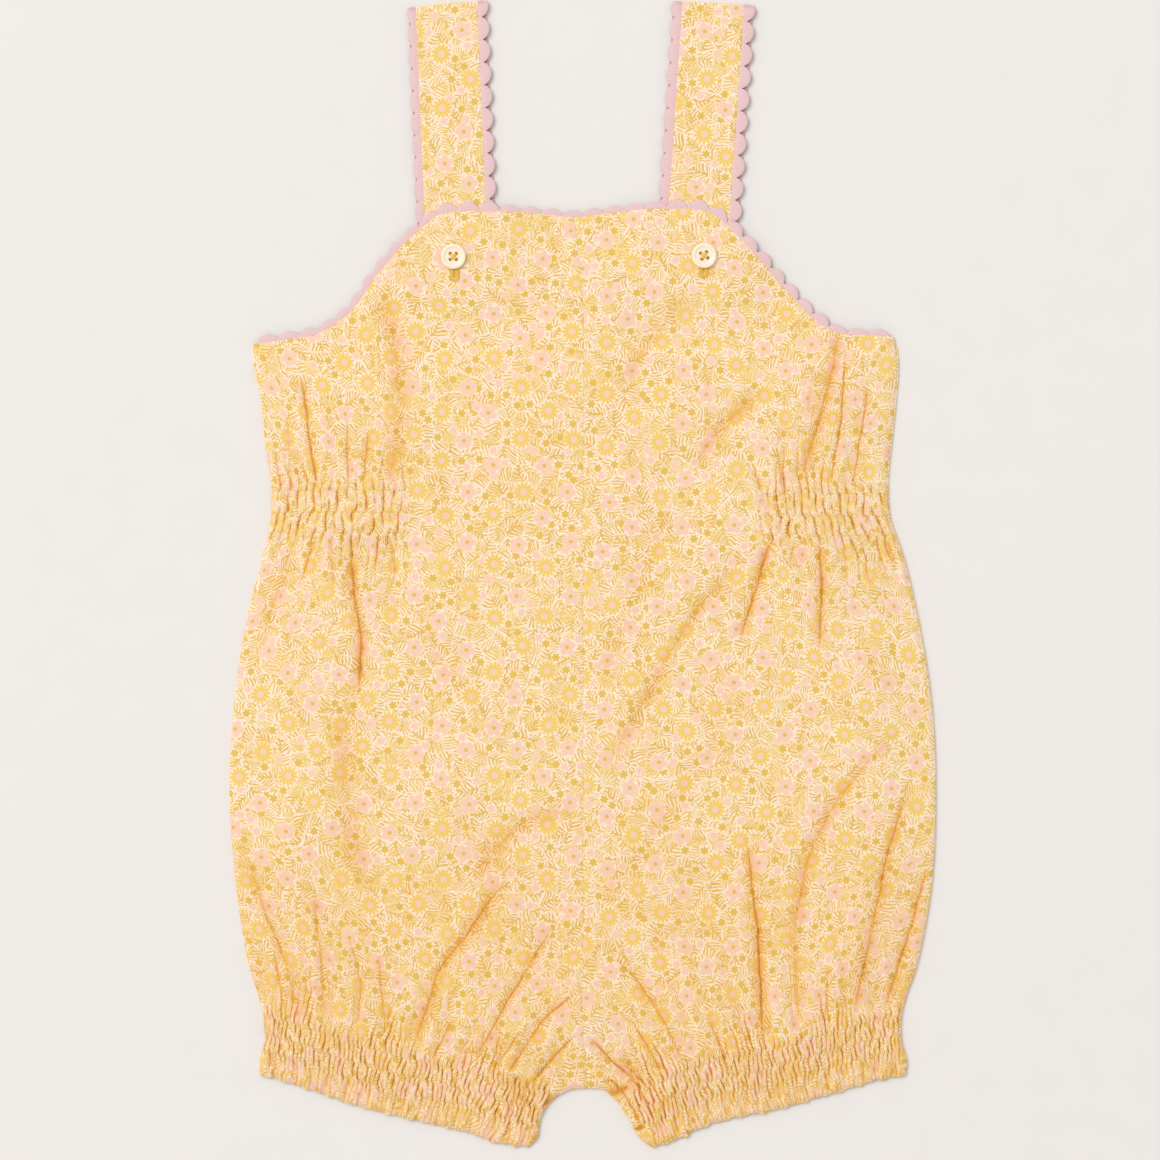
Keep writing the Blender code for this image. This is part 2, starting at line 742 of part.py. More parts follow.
def strap_band(name, strap):
    """The strap itself, from the back's top edge round the fold to behind the bib."""
    back, front = strap_lengths(strap)
    stations = [-back, -back * 0.5] + fold_stations() + [front * 0.5, front]
    rows = [
        (strap_point(strap, along, -STRAP_HALF), strap_point(strap, along, STRAP_HALF))
        for along in stations
    ]
    return ribbon(name, rows, STRAP_WALL, PRINTED_COTTON)


def scallop_reach(quarter):
    """How far the edging sticks out at a quarter of a scallop."""
    return mix(SCALLOP_VALLEY, SCALLOP_REACH, SCALLOP_SHAPE[quarter % len(SCALLOP_SHAPE)])


def strap_edging(name, strap, hand):
    """Edging on one long edge; the back run's scallops lie in the valleys of the front run's."""
    back, front = strap_lengths(strap)
    step = SCALLOP_PITCH / len(SCALLOP_SHAPE)
    marks = {}
    for quarter in range(-math.floor(back / step), math.floor(front / step) + 1):
        marks[quarter * step] = scallop_reach(quarter + 1)
    for along in fold_stations():
        marks.setdefault(along, scallop_reach(1))
    rows = []
    for along in sorted(marks):
        inner = hand * (STRAP_HALF + SEAM_GAP)
        outer = hand * (STRAP_HALF + marks[along])
        pair = [strap_point(strap, along, inner), strap_point(strap, along, outer)]
        rows.append(pair if hand > 0 else pair[::-1])
    return ribbon(name, rows, EDGING_WALL, PINK_EDGING)


def bib_edging():
    """One length of edging from underarm to underarm, round the armholes and over the bib top."""
    left = armhole_run(LEFT)[::-1] + bib_top_run(LEFT)[::-1][1:]
    right = bib_top_run(RIGHT)[1:] + armhole_run(RIGHT)[1:]
    path = left + right
    length = path_length(path) - 2 * EDGING_ENDS
    scallops = round(length / SCALLOP_PITCH)
    count = scallops * len(SCALLOP_SHAPE)
    distances = [EDGING_ENDS + length * k / count for k in range(count + 1)]
    rows = []
    for quarter, (spot, along) in enumerate(spaced(path, distances)):
        out = Vector((-along.y, along.x))
        inner = spot + out * SEAM_GAP
        outer = spot + out * scallop_reach(quarter)
        height = underside(spot.x, spot.y) + EDGING_WALL / 2
        rows.append(((outer.x, outer.y, height), (inner.x, inner.y, height)))
    return ribbon("bib_edging", rows, EDGING_WALL, PINK_EDGING)


# ---- buttons ----------------------------------------------------------------------------------
def hole_cutter(name, x, y, z):
    """A rod through the button, for one thread hole."""
    bpy.ops.mesh.primitive_cylinder_add(
        vertices=HOLE_SIDES, radius=HOLE_RADIUS * MM, depth=8 * MM, location=to_metres(x, y, z)
    )
    cutter = bpy.context.object
    cutter.name = name
    for collection in cutter.users_collection:
        collection.objects.unlink(cutter)
    bpy.data.collections["cutters"].objects.link(cutter)
    cutter.hide_render = True
    cutter.display_type = "WIRE"
    return cutter


def button(name, x, y):
    """A turned button with a raised rim and four thread holes, lying on the bib."""
    mesh = bpy.data.meshes.new(name)
    profile = [(radius * MM, 0.0, height * MM) for radius, height in BUTTON_PROFILE]
    mesh.from_pydata(profile, [(i, i + 1) for i in range(len(profile) - 1)], [])
    piece = add_object(name, mesh, CREAM_BUTTON)
    bottom = OVER_STRAPS + WALL + SEAM_GAP
    piece.location = to_metres(x, y, bottom)
    turn = piece.modifiers.new("turn", "SCREW")
    turn.steps = BUTTON_SIDES
    turn.render_steps = BUTTON_SIDES
    turn.use_merge_vertices = True
    turn.merge_threshold = 0.00001
    turn.use_normal_calculate = True
    for hole, (across, up) in enumerate(((-1, -1), (1, -1), (-1, 1), (1, 1)), start=1):
        cutter = hole_cutter(f"{name}_hole_{hole}", x + across * HOLE_OFFSET, y + up * HOLE_OFFSET, bottom)
        cut = piece.modifiers.new(f"hole {hole}", "BOOLEAN")
        cut.operation = "DIFFERENCE"
        cut.solver = "EXACT"
        cut.object = cutter
    return piece


# ---- the garment ------------------------------------------------------------------------------
def clear_scene():
    for thing in list(bpy.data.objects):
        bpy.data.objects.remove(thing, do_unlink=True)
    for name in (NAME, "cutters"):
        bpy.context.scene.collection.children.link(bpy.data.collections.new(name))


def build_romper():
    clear_scene()
    back_panel()
    front_half("front_left", LEFT, PRINTED_COTTON)
    front_half("front_right", RIGHT, PRINTED_COTTON)
    bib_edging()
    for strap in STRAPS:
        name = "strap_left" if strap.side == LEFT else "strap_right"
        strap_band(name, strap)
        strap_edging(f"{name}_edging_outer", strap, strap.side)
        strap_edging(f"{name}_edging_inner", strap, -strap.side)
    for name, x, y in BUTTON_TABLE:
        button(name, x, y)


build_romper()
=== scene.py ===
import math

import bmesh
import bpy
import numpy as np
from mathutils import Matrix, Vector
from mathutils.geometry import delaunay_2d_cdt


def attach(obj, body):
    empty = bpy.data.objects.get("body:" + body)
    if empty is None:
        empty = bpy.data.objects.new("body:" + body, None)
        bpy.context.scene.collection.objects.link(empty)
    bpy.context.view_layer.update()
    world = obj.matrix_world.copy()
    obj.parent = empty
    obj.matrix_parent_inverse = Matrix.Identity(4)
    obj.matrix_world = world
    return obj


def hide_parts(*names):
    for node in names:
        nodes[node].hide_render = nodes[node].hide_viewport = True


# Baby romper laid flat, front up. Tables are in millimetres: x across, y from the hems up to
# the shoulders, z up from the surface. "Out" columns are distances outwards from the middle.

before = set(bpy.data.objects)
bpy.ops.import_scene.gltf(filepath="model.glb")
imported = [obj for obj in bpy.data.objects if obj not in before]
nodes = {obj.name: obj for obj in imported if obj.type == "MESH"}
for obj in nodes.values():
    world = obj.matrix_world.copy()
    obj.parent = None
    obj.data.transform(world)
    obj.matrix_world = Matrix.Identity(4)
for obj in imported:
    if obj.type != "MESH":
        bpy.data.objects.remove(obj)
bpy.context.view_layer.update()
print("frame loaded:", len(nodes), "CAD nodes")

left, right = -1, 1
sides = (left, right)
millimetre = 0.001
garmentMiddle = (-0.15, -0.86, 0.0)     # its place in the tables' own millimetres
batch = 3000                            # points measured at a time, to spare memory


# small helpers: curves, soft steps, distances
def toWorld(points):
    return (np.asarray(points, float) - garmentMiddle) * millimetre


def softStep(t):
    t = np.clip(t, 0.0, 1.0)
    return t * t * (3.0 - 2.0 * t)


def stepUp(x, start, over):
    # 0 up to the start, then rising softly to 1
    return softStep((x - start) / over)


def bell(x, width):
    return np.exp(-(x / width)**2)


def mixed(a, b, t):
    return a + (b - a) * t


def ripple(x, seed):
    # smooth unevenness between about -1 and 1
    return (0.5 * np.sin(1.9 * x + 1.7 * seed) + 0.3 * np.sin(4.3 * x + 2.9 * seed + 1.0)
            + 0.2 * np.sin(7.7 * x + 4.1 * seed + 2.0))


def smoothPath(knots, step):
    # points about a step apart on a soft curve through the knots
    knots = np.array(knots, float)
    runs = np.diff(knots, axis=0)
    chords = np.hypot(runs[:, 0], runs[:, 1])
    slopes = runs / chords[:, None]
    tangents = [slopes[0]]
    for i in range(1, len(knots) - 1):
        before, after = chords[i - 1], chords[i]
        tangents.append((slopes[i] * before + slopes[i - 1] * after) / (before + after))
    tangents.append(slopes[-1])
    points = [knots[0]]
    for i, chord in enumerate(chords):
        pieces = max(1, round(chord / step))
        for k in range(1, pieces + 1):
            t = k / pieces
            leaving = knots[i] * (2 * t**3 - 3 * t**2 + 1) + tangents[i] * chord * (t**3 - 2 * t**2 + t)
            arrived = leaving + knots[i + 1] * (3 * t**2 - 2 * t**3)
            points.append(arrived + tangents[i + 1] * chord * (t**3 - t**2))
    return np.array(points)


def lengthAlong(path):
    return np.concatenate(([0.0], np.cumsum(np.sqrt((np.diff(path, axis=0)**2).sum(1)))))


def sampled(wanted, places, path):
    # a path's points at the wanted places along it
    return np.stack([np.interp(wanted, places, path[:, i]) for i in range(path.shape[1])], 1)


def evenPath(path, step):
    # the same path with points an even distance apart
    places = lengthAlong(path)
    wanted = np.linspace(0.0, places[-1], max(2, round(places[-1] / step) + 1))
    return sampled(wanted, places, path)


def closedPath(loop, step):
    return evenPath(np.concatenate((loop, loop[:1])), step)


def directions(path):
    along = np.gradient(path, axis=0)
    return along / np.sqrt((along**2).sum(1))[:, None]


def nearestOn(points, starts, ends):
    # distance from each point to the nearest of some stretches, and how far along them it lies
    along = ends - starts
    lengths = np.maximum(np.sqrt((along**2).sum(1)), 1e-9)
    before = np.concatenate(([0.0], np.cumsum(lengths)[:-1]))
    distance = np.empty(len(points))
    place = np.empty(len(points))
    for first in range(0, len(points), batch):
        part = points[first:first + batch, None, :] - starts
        t = np.clip((part * along).sum(2) / lengths**2, 0.0, 1.0)
        squares = ((part - along * t[..., None])**2).sum(2)
        best = squares.argmin(1)
        rows = np.arange(len(best))
        distance[first:first + batch] = np.sqrt(squares[rows, best])
        place[first:first + batch] = before[best] + t[rows, best] * lengths[best]
    return distance, place


def insideLoop(points, loop):
    following = np.roll(loop, -1, axis=0)
    rise = np.where(following[:, 1] == loop[:, 1], 1.0, following[:, 1] - loop[:, 1])
    found = np.zeros(len(points), bool)
    for first in range(0, len(points), batch):
        x = points[first:first + batch, 0:1]
        y = points[first:first + batch, 1:2]
        crossed = (loop[:, 1] > y) != (following[:, 1] > y)
        reach = loop[:, 0] + (y - loop[:, 1]) / rise * (following[:, 0] - loop[:, 0])
        found[first:first + batch] = (crossed & (x < reach)).sum(1) % 2 == 1
    return found


def meshOf(name, points, faces, edges=()):
    mesh = bpy.data.meshes.new(name)
    mesh.from_pydata(toWorld(points).tolist(), edges, faces)
    return mesh


def addObject(name, data):
    made = bpy.data.objects.new(name, data)
    bpy.context.scene.collection.objects.link(made)
    return made


# camera: straight down, at the height where the whole garment fills the frame
view = {"height": 1.6, "width": 0.5222, "x": -0.0012, "y": -0.0023, "sensor": 36.0}

cameraData = bpy.data.cameras.new("overheadCamera")
cameraData.sensor_width = view["sensor"]
cameraData.lens = view["sensor"] / 2 / (view["width"] / 2 / view["height"])
camera = addObject("overheadCamera", cameraData)
camera.location = (view["x"], view["y"], view["height"])
bpy.context.scene.camera = camera


# materials, with their colours as sRGB hex
def linear(code):
    # sRGB hex to linear colour
    values = [int(code[i:i + 2], 16) / 255 for i in (1, 3, 5)]
    return (*[v / 12.92 if v <= 0.04045 else ((v + 0.055) / 1.055)**2.4 for v in values], 1.0)


def plug(tree, node, key, source):
    # an input's value, or a link to it from a node (its first output) or from (node, output)
    if isinstance(source, bpy.types.Node):
        source = (source, 0)
    if isinstance(source, tuple) and isinstance(source[0], bpy.types.Node):
        tree.links.new(source[0].outputs[source[1]], node.inputs[key])
    else:
        node.inputs[key].default_value = source


def addNode(tree, kind, inputs=(), **settings):
    # a node with its settings and links; an operation may follow the kind, as in "Math SINE"
    kind, _, operation = kind.partition(" ")
    if operation:
        settings["operation"] = operation
    node = tree.nodes.new(kind if "Node" in kind else "ShaderNode" + kind)
    for name, value in settings.items():
        setattr(node, name, value)
    for key, source in inputs.items() if isinstance(inputs, dict) else enumerate(inputs):
        plug(tree, node, key, source)
    return node


def addRow(tree, source, *steps):
    # nodes in a row: each takes the one before it, then the inputs that its step names
    for kind, *others in steps:
        source = addNode(tree, kind, [source, *others])
    return source


def startMaterial(name, **constants):
    material = bpy.data.materials.new(name)
    material.use_nodes = True
    shader = material.node_tree.nodes["Principled BSDF"]
    for key, value in constants.items():
        shader.inputs[key.replace("_", " ")].default_value = value
    return material, material.node_tree, shader


def clothPlace(tree):
    # the place in the flat cloth, in mm, and its parts across and along
    cloth = addNode(tree, "UVMap", uv_map="UVMap")
    mm = addNode(tree, "VectorMath SCALE", {0: cloth, "Scale": 100.0})
    return mm, addNode(tree, "SeparateXYZ", [mm])


# Cotton poplin, plain woven and rotary printed: matt, with a faint soft sheen on the folds.
# A small all-over flower print of its own: blossoms and daisies on a turned lattice, with leafy
# sprigs, small stars and pale spots close together between them. Its sizes are in mm.
poplin = {
    "ground": "#fbe5cd", "pale": "#f9d9b9", "warm": "#f6da9e", "pink": "#f6cdb5", "yellow": "#f1cc6b",
    "gold": "#e4b855", "straw": "#ecc86f", "mustard": "#e5bd54",
    # painted shade: the deep gold that folds and gather troughs are darkened towards, and a deeper one where
    # they pinch tightest
    "foldShade": (0.90, 0.62, 0.25, 1.0), "deepShade": (0.70, 0.52, 0.30, 1.0),
    "lattice": 16.5,            # between flowers
    # each flower's petals, inner and outer radius and roundness, then the radius of its middle
    "blossom": (5, 2.145, 3.9, 0.5), "heart": 0.9,
    "daisy": (13, 2.35, 4.7, 0.7), "eye": 1.598,
    "clear": 0.2,               # bare cloth round a flower
    "sprig": 7.4,               # between sprigs
    "leafStep": 1.7, "leafHalf": 0.42, "leafSlant": -0.8,
    "stemHalf": 0.38, "stemSway": 0.6, "sprigGap": 0.28,
    "stars": 7.0, "star": (6, 1.0, 2.0, 0.8), "starHalo": 2.3, "starShare": 0.62, "mustardShare": 0.55,
    "spots": 8.0, "spotLeast": 0.4, "spotSpread": 4.2,
    "wobble": 0.9,              # no stroke of a sprig is quite straight
    "weave": 0.55,              # a real thread is 0.25, drawn coarser so that it shows
}
white = (1.0, 1.0, 1.0, 1.0)


def scattered(tree, mm, size, place, turn, randomness):
    # one motif to a cell: its place in the cell in mm, swung round by a chance angle; the cell's
    # chances; and the distance to the cell's edge
    bed = addNode(tree, "Mapping", {
        "Vector": mm, "Location": place, "Rotation": (0.0, 0.0, turn), "Scale": (1 / size,) * 3})
    spread = {"Vector": bed, "Scale": 1.0, "Randomness": randomness}
    cells = addNode(tree, "TexVoronoi", spread, voronoi_dimensions="2D", feature="F1")
    edges = addNode(tree, "TexVoronoi", spread, voronoi_dimensions="2D", feature="DISTANCE_TO_EDGE")
    chance = addNode(tree, "SeparateColor", [(cells, "Color")])
    off = addNode(tree, "VectorMath SUBTRACT", [bed, (cells, "Position")])
    angle = addNode(tree, "Math MULTIPLY", [(chance, 0), 6.283])
    swung = addNode(tree, "VectorRotate", {"Vector": off, "Angle": angle}, rotation_type="Z_AXIS")
    placed = addNode(tree, "VectorMath SCALE", {0: swung, "Scale": size})
    return placed, chance, addNode(tree, "Math MULTIPLY", [edges, size])


def polar(tree, placed):
    reach = addNode(tree, "VectorMath LENGTH", [placed])
    parts = addNode(tree, "SeparateXYZ", [placed])
    return (reach, "Value"), addNode(tree, "Math ARCTAN2", [(parts, 1), (parts, 0)])


def petalled(tree, radius, bearing, petals, inner, outer, roundness):
    # inside a flower whose edge swings between two radii
    edge = addRow(tree, bearing, ("Math MULTIPLY", petals / 2), ("Math COSINE",),
                  ("Math ABSOLUTE",), ("Math POWER", roundness),
                  ("Math MULTIPLY_ADD", outer - inner, inner))
    return addNode(tree, "Math LESS_THAN", [radius, edge])


def printedPoplin():
    look = poplin
    material, tree, shader = startMaterial(
        "printedCottonPoplin", Roughness=0.82, Sheen_Weight=0.12, Sheen_Roughness=0.55, IOR=1.46)
    mm, threads = clothPlace(tree)

    # flowers: a five-petalled blossom or a many-rayed daisy in each cell of a turned lattice
    flower, chance, _ = scattered(tree, mm, look["lattice"], (0.0, 0.0, 0.0), math.radians(45), 0.24)
    radius, bearing = polar(tree, flower)
    petals = petalled(tree, radius, bearing, *look["blossom"])
    rays = petalled(tree, radius, bearing, *look["daisy"])
    heart = addNode(tree, "Math LESS_THAN", [radius, look["heart"]])
    eye = addNode(tree, "Math LESS_THAN", [radius, look["eye"]])
    isBlossom = addNode(tree, "Math LESS_THAN", [(chance, 1), 0.5])
    blossomReach, daisyReach = look["blossom"][2], look["daisy"][2]
    clearEdge = addNode(tree, "Math MULTIPLY_ADD",
                        [isBlossom, blossomReach - daisyReach, daisyReach + look["clear"]])
    clear = addNode(tree, "Math GREATER_THAN", [radius, clearEdge])

    # sprigs: a wavy stem with slanting leaves in every cell, a thin gap between one sprig and the next
    drift = addNode(tree, "TexNoise", {"Vector": mm, "Scale": 0.42, "Detail": 1.0})
    drifted = addNode(tree, "VectorMath MULTIPLY_ADD",
                      [(drift, "Color"), (look["wobble"] * 2.0,) * 3, mm])
    sprig, sprigChance, sprigRim = scattered(tree, drifted, look["sprig"], (0.37, 0.11, 0.0), 0.31, 0.85)
    parts = addNode(tree, "SeparateXYZ", [sprig])
    aside = addRow(tree, (parts, 1), ("Math MULTIPLY", 0.8), ("Math SINE",),
                   ("Math MULTIPLY_ADD", look["stemSway"], (parts, 0)),
                   ("Math ABSOLUTE",))
    stem = addNode(tree, "Math LESS_THAN", [aside, look["stemHalf"]])
    apart = addNode(tree, "Math GREATER_THAN", [sprigRim, look["sprigGap"]])
    sprigShown = addRow(tree, aside, ("Math MULTIPLY_ADD", look["leafSlant"], (parts, 1)),
                        ("Math PINGPONG", look["leafStep"] / 2),
                        ("Math LESS_THAN", look["leafHalf"]), ("Math MAXIMUM", stem),
                        ("Math MULTIPLY", apart), ("Math MULTIPLY", clear))

    # small stars, mustard or pink, and pale spots on the ground
    star, starChance, _ = scattered(tree, mm, look["stars"], (0.2, 0.6, 0.0), 0.9, 0.75)
    starRadius, starBearing = polar(tree, star)
    starShape = petalled(tree, starRadius, starBearing, *look["star"])
    starOften = addNode(tree, "Math LESS_THAN", [(starChance, 1), look["starShare"]])
    starShown = addRow(tree, starShape, ("Math MULTIPLY", starOften), ("Math MULTIPLY", clear))
    starAround = addRow(tree, starRadius, ("Math LESS_THAN", look["starHalo"]),
                        ("Math MULTIPLY", starOften))
    sprigFree = addNode(tree, "Math SUBTRACT", [sprigShown, starAround], use_clamp=True)
    starPink = addNode(tree, "Math GREATER_THAN", [(starChance, 2), look["mustardShare"]])
    spot, spotChance, _ = scattered(tree, mm, look["spots"], (0.7, 0.3, 0.0), 0.0, 0.8)
    spotSize = addNode(tree, "Math MULTIPLY_ADD",
                       [(spotChance, 1), look["spotSpread"], look["spotLeast"]])
    spotShape = addNode(tree, "Math LESS_THAN", [polar(tree, spot)[0], spotSize])

    # the inks over each other: what a row makes, where its second ink lies, then the two inks
    inks = {name: linear(code) for name, code in look.items() if isinstance(code, str)}
    for made, where, below, above in (
            ("spotInk", (spotChance, 2), "pale", "warm"), ("spotted", spotShape, "ground", "spotInk"),
            ("leafInk", (sprigChance, 1), "gold", "straw"), ("leafed", sprigFree, "spotted", "leafInk"),
            ("starInk", starPink, "mustard", "pink"), ("starred", starShown, "leafed", "starInk"),
            ("daisyInk", eye, "yellow", "pink"), ("daisied", rays, "starred", "daisyInk"),
            ("blossomInk", heart, "pink", "mustard"), ("blossomed", petals, "starred", "blossomInk"),
            ("printed", isBlossom, "daisied", "blossomed")):
        laid = addNode(tree, "Mix", {0: where, 6: inks[below], 7: inks[above]}, data_type="RGBA")
        inks[made] = (laid, 2)

    # the cloth's own small unevenness of tone; then painted shade: folds and gather troughs are
    # darkened towards a deep gold, the warm colour that light takes between and through folds of golden
    # cloth
    slub = addNode(tree, "TexNoise", {"Vector": mm, "Scale": 1.7, "Detail": 2.0})
    toneAndShade = addNode(tree, "MapRange", {0: slub, 3: 0.94, 4: 1.04})
    cotton = addNode(tree, "VectorMath SCALE", {0: inks["printed"], "Scale": toneAndShade})
    hollow = addNode(tree, "Attribute", attribute_name="hollow")
    pinched = addNode(tree, "Math SUBTRACT", [(hollow, "Fac"), 1.0], use_clamp=True)
    foldShade = addNode(tree, "Mix", {0: (hollow, "Fac"), 6: white, 7: look["foldShade"]}, data_type="RGBA")
    deepShade = addNode(tree, "Mix", {0: pinched, 6: white, 7: look["deepShade"]}, data_type="RGBA")
    shadedInFolds = addRow(tree, cotton, ("VectorMath MULTIPLY", (foldShade, 2)),
                    ("VectorMath MULTIPLY", (deepShade, 2)))

    # plain weave as a fine relief
    warp, weft = (addRow(tree, (threads, way), ("Math MULTIPLY", 2 * math.pi / look["weave"]),
                         ("Math SINE",)) for way in (0, 1))
    crossed = addNode(tree, "Math MULTIPLY_ADD", [warp, weft, slub])
    relief = addNode(tree, "Bump", {"Strength": 0.2, "Distance": 0.0001, "Height": crossed})
    plug(tree, shader, "Base Color", shadedInFolds)
    plug(tree, shader, "Normal", relief)
    return material


# Cotton braid, flat woven and scalloped: matt, with fine ribs across it and painted shade in their
# grooves. Where a run lies behind another it gets a painted mauve shade, deepest by its sewn edge.
# Its sizes are in mm.
# pink and shade are the braid's colour and its ribs' painted groove shade; under is the painted mauve shade
# of a run behind another, full up to deepTo from the sewn edge and faintest from faintFrom
braid = {"pink": "#ebcaca", "shade": "#d8adaf", "rib": 0.8, "under": (0.52, 0.36, 0.40, 1.0),
         "deepTo": 1.2, "faintFrom": 3.4}


def cottonBraid():
    look = braid
    material, tree, shader = startMaterial(
        "pinkCottonBraid", Roughness=0.85, Sheen_Weight=0.2, Sheen_Roughness=0.5, IOR=1.46)
    mm, parts = clothPlace(tree)
    fuzz = addNode(tree, "TexNoise", {"Vector": mm, "Scale": 0.9, "Detail": 4.0})
    height = addRow(tree, (parts, 0), ("Math MULTIPLY", 2 * math.pi / look["rib"]),
                    ("Math SINE",), ("Math MULTIPLY_ADD", 0.35, fuzz))
    # painted shade: the ribs' grooves darker
    share = addNode(tree, "MapRange", {0: height, 1: 0.2, 2: 0.95, 3: 0.5, 4: 0.0})
    dyedAndShaded = addNode(tree, "Mix", {0: share, 6: linear(look["pink"]), 7: linear(look["shade"])},
                   data_type="RGBA")
    # painted shade on a run that lies behind another, deepest by its sewn edge
    hollow = addNode(tree, "Attribute", attribute_name="hollow")
    nearness = addNode(tree, "MapRange",
                       {0: (parts, 1), 1: look["deepTo"], 2: look["faintFrom"], 3: 1.0, 4: 0.3})
    hidden = addNode(tree, "Math MULTIPLY", [(hollow, "Fac"), nearness])
    behind = addNode(tree, "Mix", {0: hidden, 6: white, 7: look["under"]}, data_type="RGBA")
    shaded = addNode(tree, "VectorMath MULTIPLY", [(dyedAndShaded, 2), (behind, 2)])
    relief = addNode(tree, "Bump", {"Strength": 0.3, "Distance": 0.0002, "Height": height})
    plug(tree, shader, "Base Color", shaded)
    plug(tree, shader, "Normal", relief)
    return material


# Cast polyester resin, turned and tumbled: cream, smooth and softly glossy, faintly clouded.
resin = {"cream": "#faebd4", "cloud": "#f5e2c8"}


def polyesterResin():
    look = resin
    material, tree, shader = startMaterial(
        "creamPolyesterResin", Roughness=0.42, IOR=1.5, Coat_Weight=0.1, Coat_Roughness=0.3)
    place = addNode(tree, "TexCoord")
    clouds = addNode(tree, "TexNoise",
                     {"Vector": (place, "Object"), "Scale": 260.0, "Detail": 3.0, "Distortion": 1.2})
    marbled = addNode(tree, "Mix", {0: clouds, 6: linear(look["cream"]), 7: linear(look["cloud"])},
                      data_type="RGBA")
    plug(tree, shader, "Base Color", (marbled, 2))
    return material


def sewingThread(name, colour, shade):
    # spun polyester thread: a soft gloss, with the darker lines of its twist
    material, tree, shader = startMaterial(name, Roughness=0.5, Sheen_Weight=0.15, IOR=1.5)
    place = addNode(tree, "TexCoord")
    twist = addNode(tree, "TexWave",
                    {"Vector": (place, "Object"), "Scale": 900.0, "Distortion": 1.5},
                    bands_direction="DIAGONAL")
    dyedAndShaded = addNode(tree, "Mix", {0: twist, 6: linear(colour), 7: linear(shade)}, data_type="RGBA")
    relief = addNode(tree, "Bump", {"Strength": 0.3, "Distance": 0.0001, "Height": twist})
    plug(tree, shader, "Base Color", (dyedAndShaded, 2))
    plug(tree, shader, "Normal", relief)
    return material


poplinMaterial = printedPoplin()
braidMaterial = cottonBraid()
resinMaterial = polyesterResin()
goldThread = sewingThread("goldenSewingThread", "#f8cf55", "#e9b341")
creamThread = sewingThread("creamShirringThread", "#f3d79c", "#d9ae5c")
print("materials made")


# outline of the front
outline = {
    # y, left out, right out: down the side seam
    "side": (
        (96, 148.4, 142.6), (78, 144.9, 141.7), (60, 143.1, 139.9),
        (42, 140.5, 138.2), (24, 140.4, 139), (14, 142.4, 142), (-21, 151.2, 150.8),
        (-57, 156.6, 156.6), (-102, 158.9, 158.6), (-138, 156.3, 157), (-174, 150.8, 150.8),
        (-202, 143.4, 143), (-211, 143.2, 143.3), (-219, 145.2, 145.6), (-225.8, 145.5, 145.2)),
    "armpit": {left: (148, 103), right: (141.3, 106.2)},
    # left out, left y, right out, right y
    "armhole": (
        (66.2, 160.2, 64.4, 156.6), (77.9, 150.3, 77.4, 143.1), (91.4, 135.5, 90.9, 127.4),
        (104.9, 117.1, 104.4, 113.9), (111.6, 111.6, 111.2, 109.2), (118.4, 108, 117.9, 107.3),
        (131.9, 105.2, 129, 106.7), (148, 103, 141.3, 106.2)),
    "top": (
        (4.05, 159.8, -4.05, 159.8), (17.1, 161.1, 9.9, 161.6), (44.1, 162.5, 36.9, 163.6),
        (59.9, 162, 57.5, 161.6), (66.2, 160.2, 64.4, 156.6)),
    "hem": (
        (145.5, -225.8, 145.2, -225.8), (131.9, -229.5, 131, -228.6), (104.9, -238.6, 111.2, -234.5),
        (77.9, -245.7, 84.2, -242), (50.9, -252, 57.2, -248), (37.4, -256.6, 43.7, -254.2),
        (24.6, -258.2, 31.4, -258.4)),
    "inseam": (
        (24.6, -258.2, 31.4, -258.4), (20.8, -254.3, 26.4, -255), (19.4, -246, 20.6, -245.4),
        (14.6, -237.6, 14.4, -236.8), (6.4, -232.6, 9.6, -232.4), (-2.25, -231.7, 2.25, -231.7)),
    # y, x: the middle seam
    "seam": ((159.8, -4.05), (138, -1.2), (118, 0), (60, 0), (-150, 0), (-205, 0),
             (-231.7, 2.25)),
    # at the right, above the waist, both layers lie in from the side table, and the back shows a little
    "tucked": {"front": {left: 0.0, right: 1.6}, "back": {left: 0.0, right: 0.8}},
    "tuckedUp": (14.0, 20.0),
    "backTop": 102.0,
    "backHemIn": 0.8,           # the back's hem lies higher than the front's
}


def columnsOf(table, side):
    first = 0 if side == left else 2
    return [(side * row[first], row[first + 1]) for row in outline[table]]


def sideSeam(side, layer):
    column = 1 if side == left else 2
    rows = [outline["armpit"][side][::-1]] + [(row[0], row[column]) for row in outline["side"]]
    tucked = outline["tucked"][layer][side]
    return smoothPath([(side * (out - tucked * stepUp(y, *outline["tuckedUp"])), y) for y, out in rows], 1.5)


def frontRuns(side):
    down = sideSeam(side, "front")
    found = {name: columnsOf(name, side) for name in ("top", "armhole", "hem", "inseam")}
    found["armhole"][-1] = tuple(down[0])
    found = {name: smoothPath(knots, 1.0) for name, knots in found.items()}
    found["side"] = down
    found["seam"] = smoothPath([(x, y) for y, x in outline["seam"]], 1.5)
    return found


runs = {side: frontRuns(side) for side in sides}


def distanceTo(points, names, ofSides):
    # from each point to the nearest of some runs, by every third point of them
    paths = [runs[side][name] for side in ofSides for name in names]
    paths = [np.concatenate((path[:-1:3], path[-1:])) for path in paths]
    starts = np.concatenate([path[:-1] for path in paths])
    ends = np.concatenate([path[1:] for path in paths])
    return nearestOn(points, starts, ends)[0]


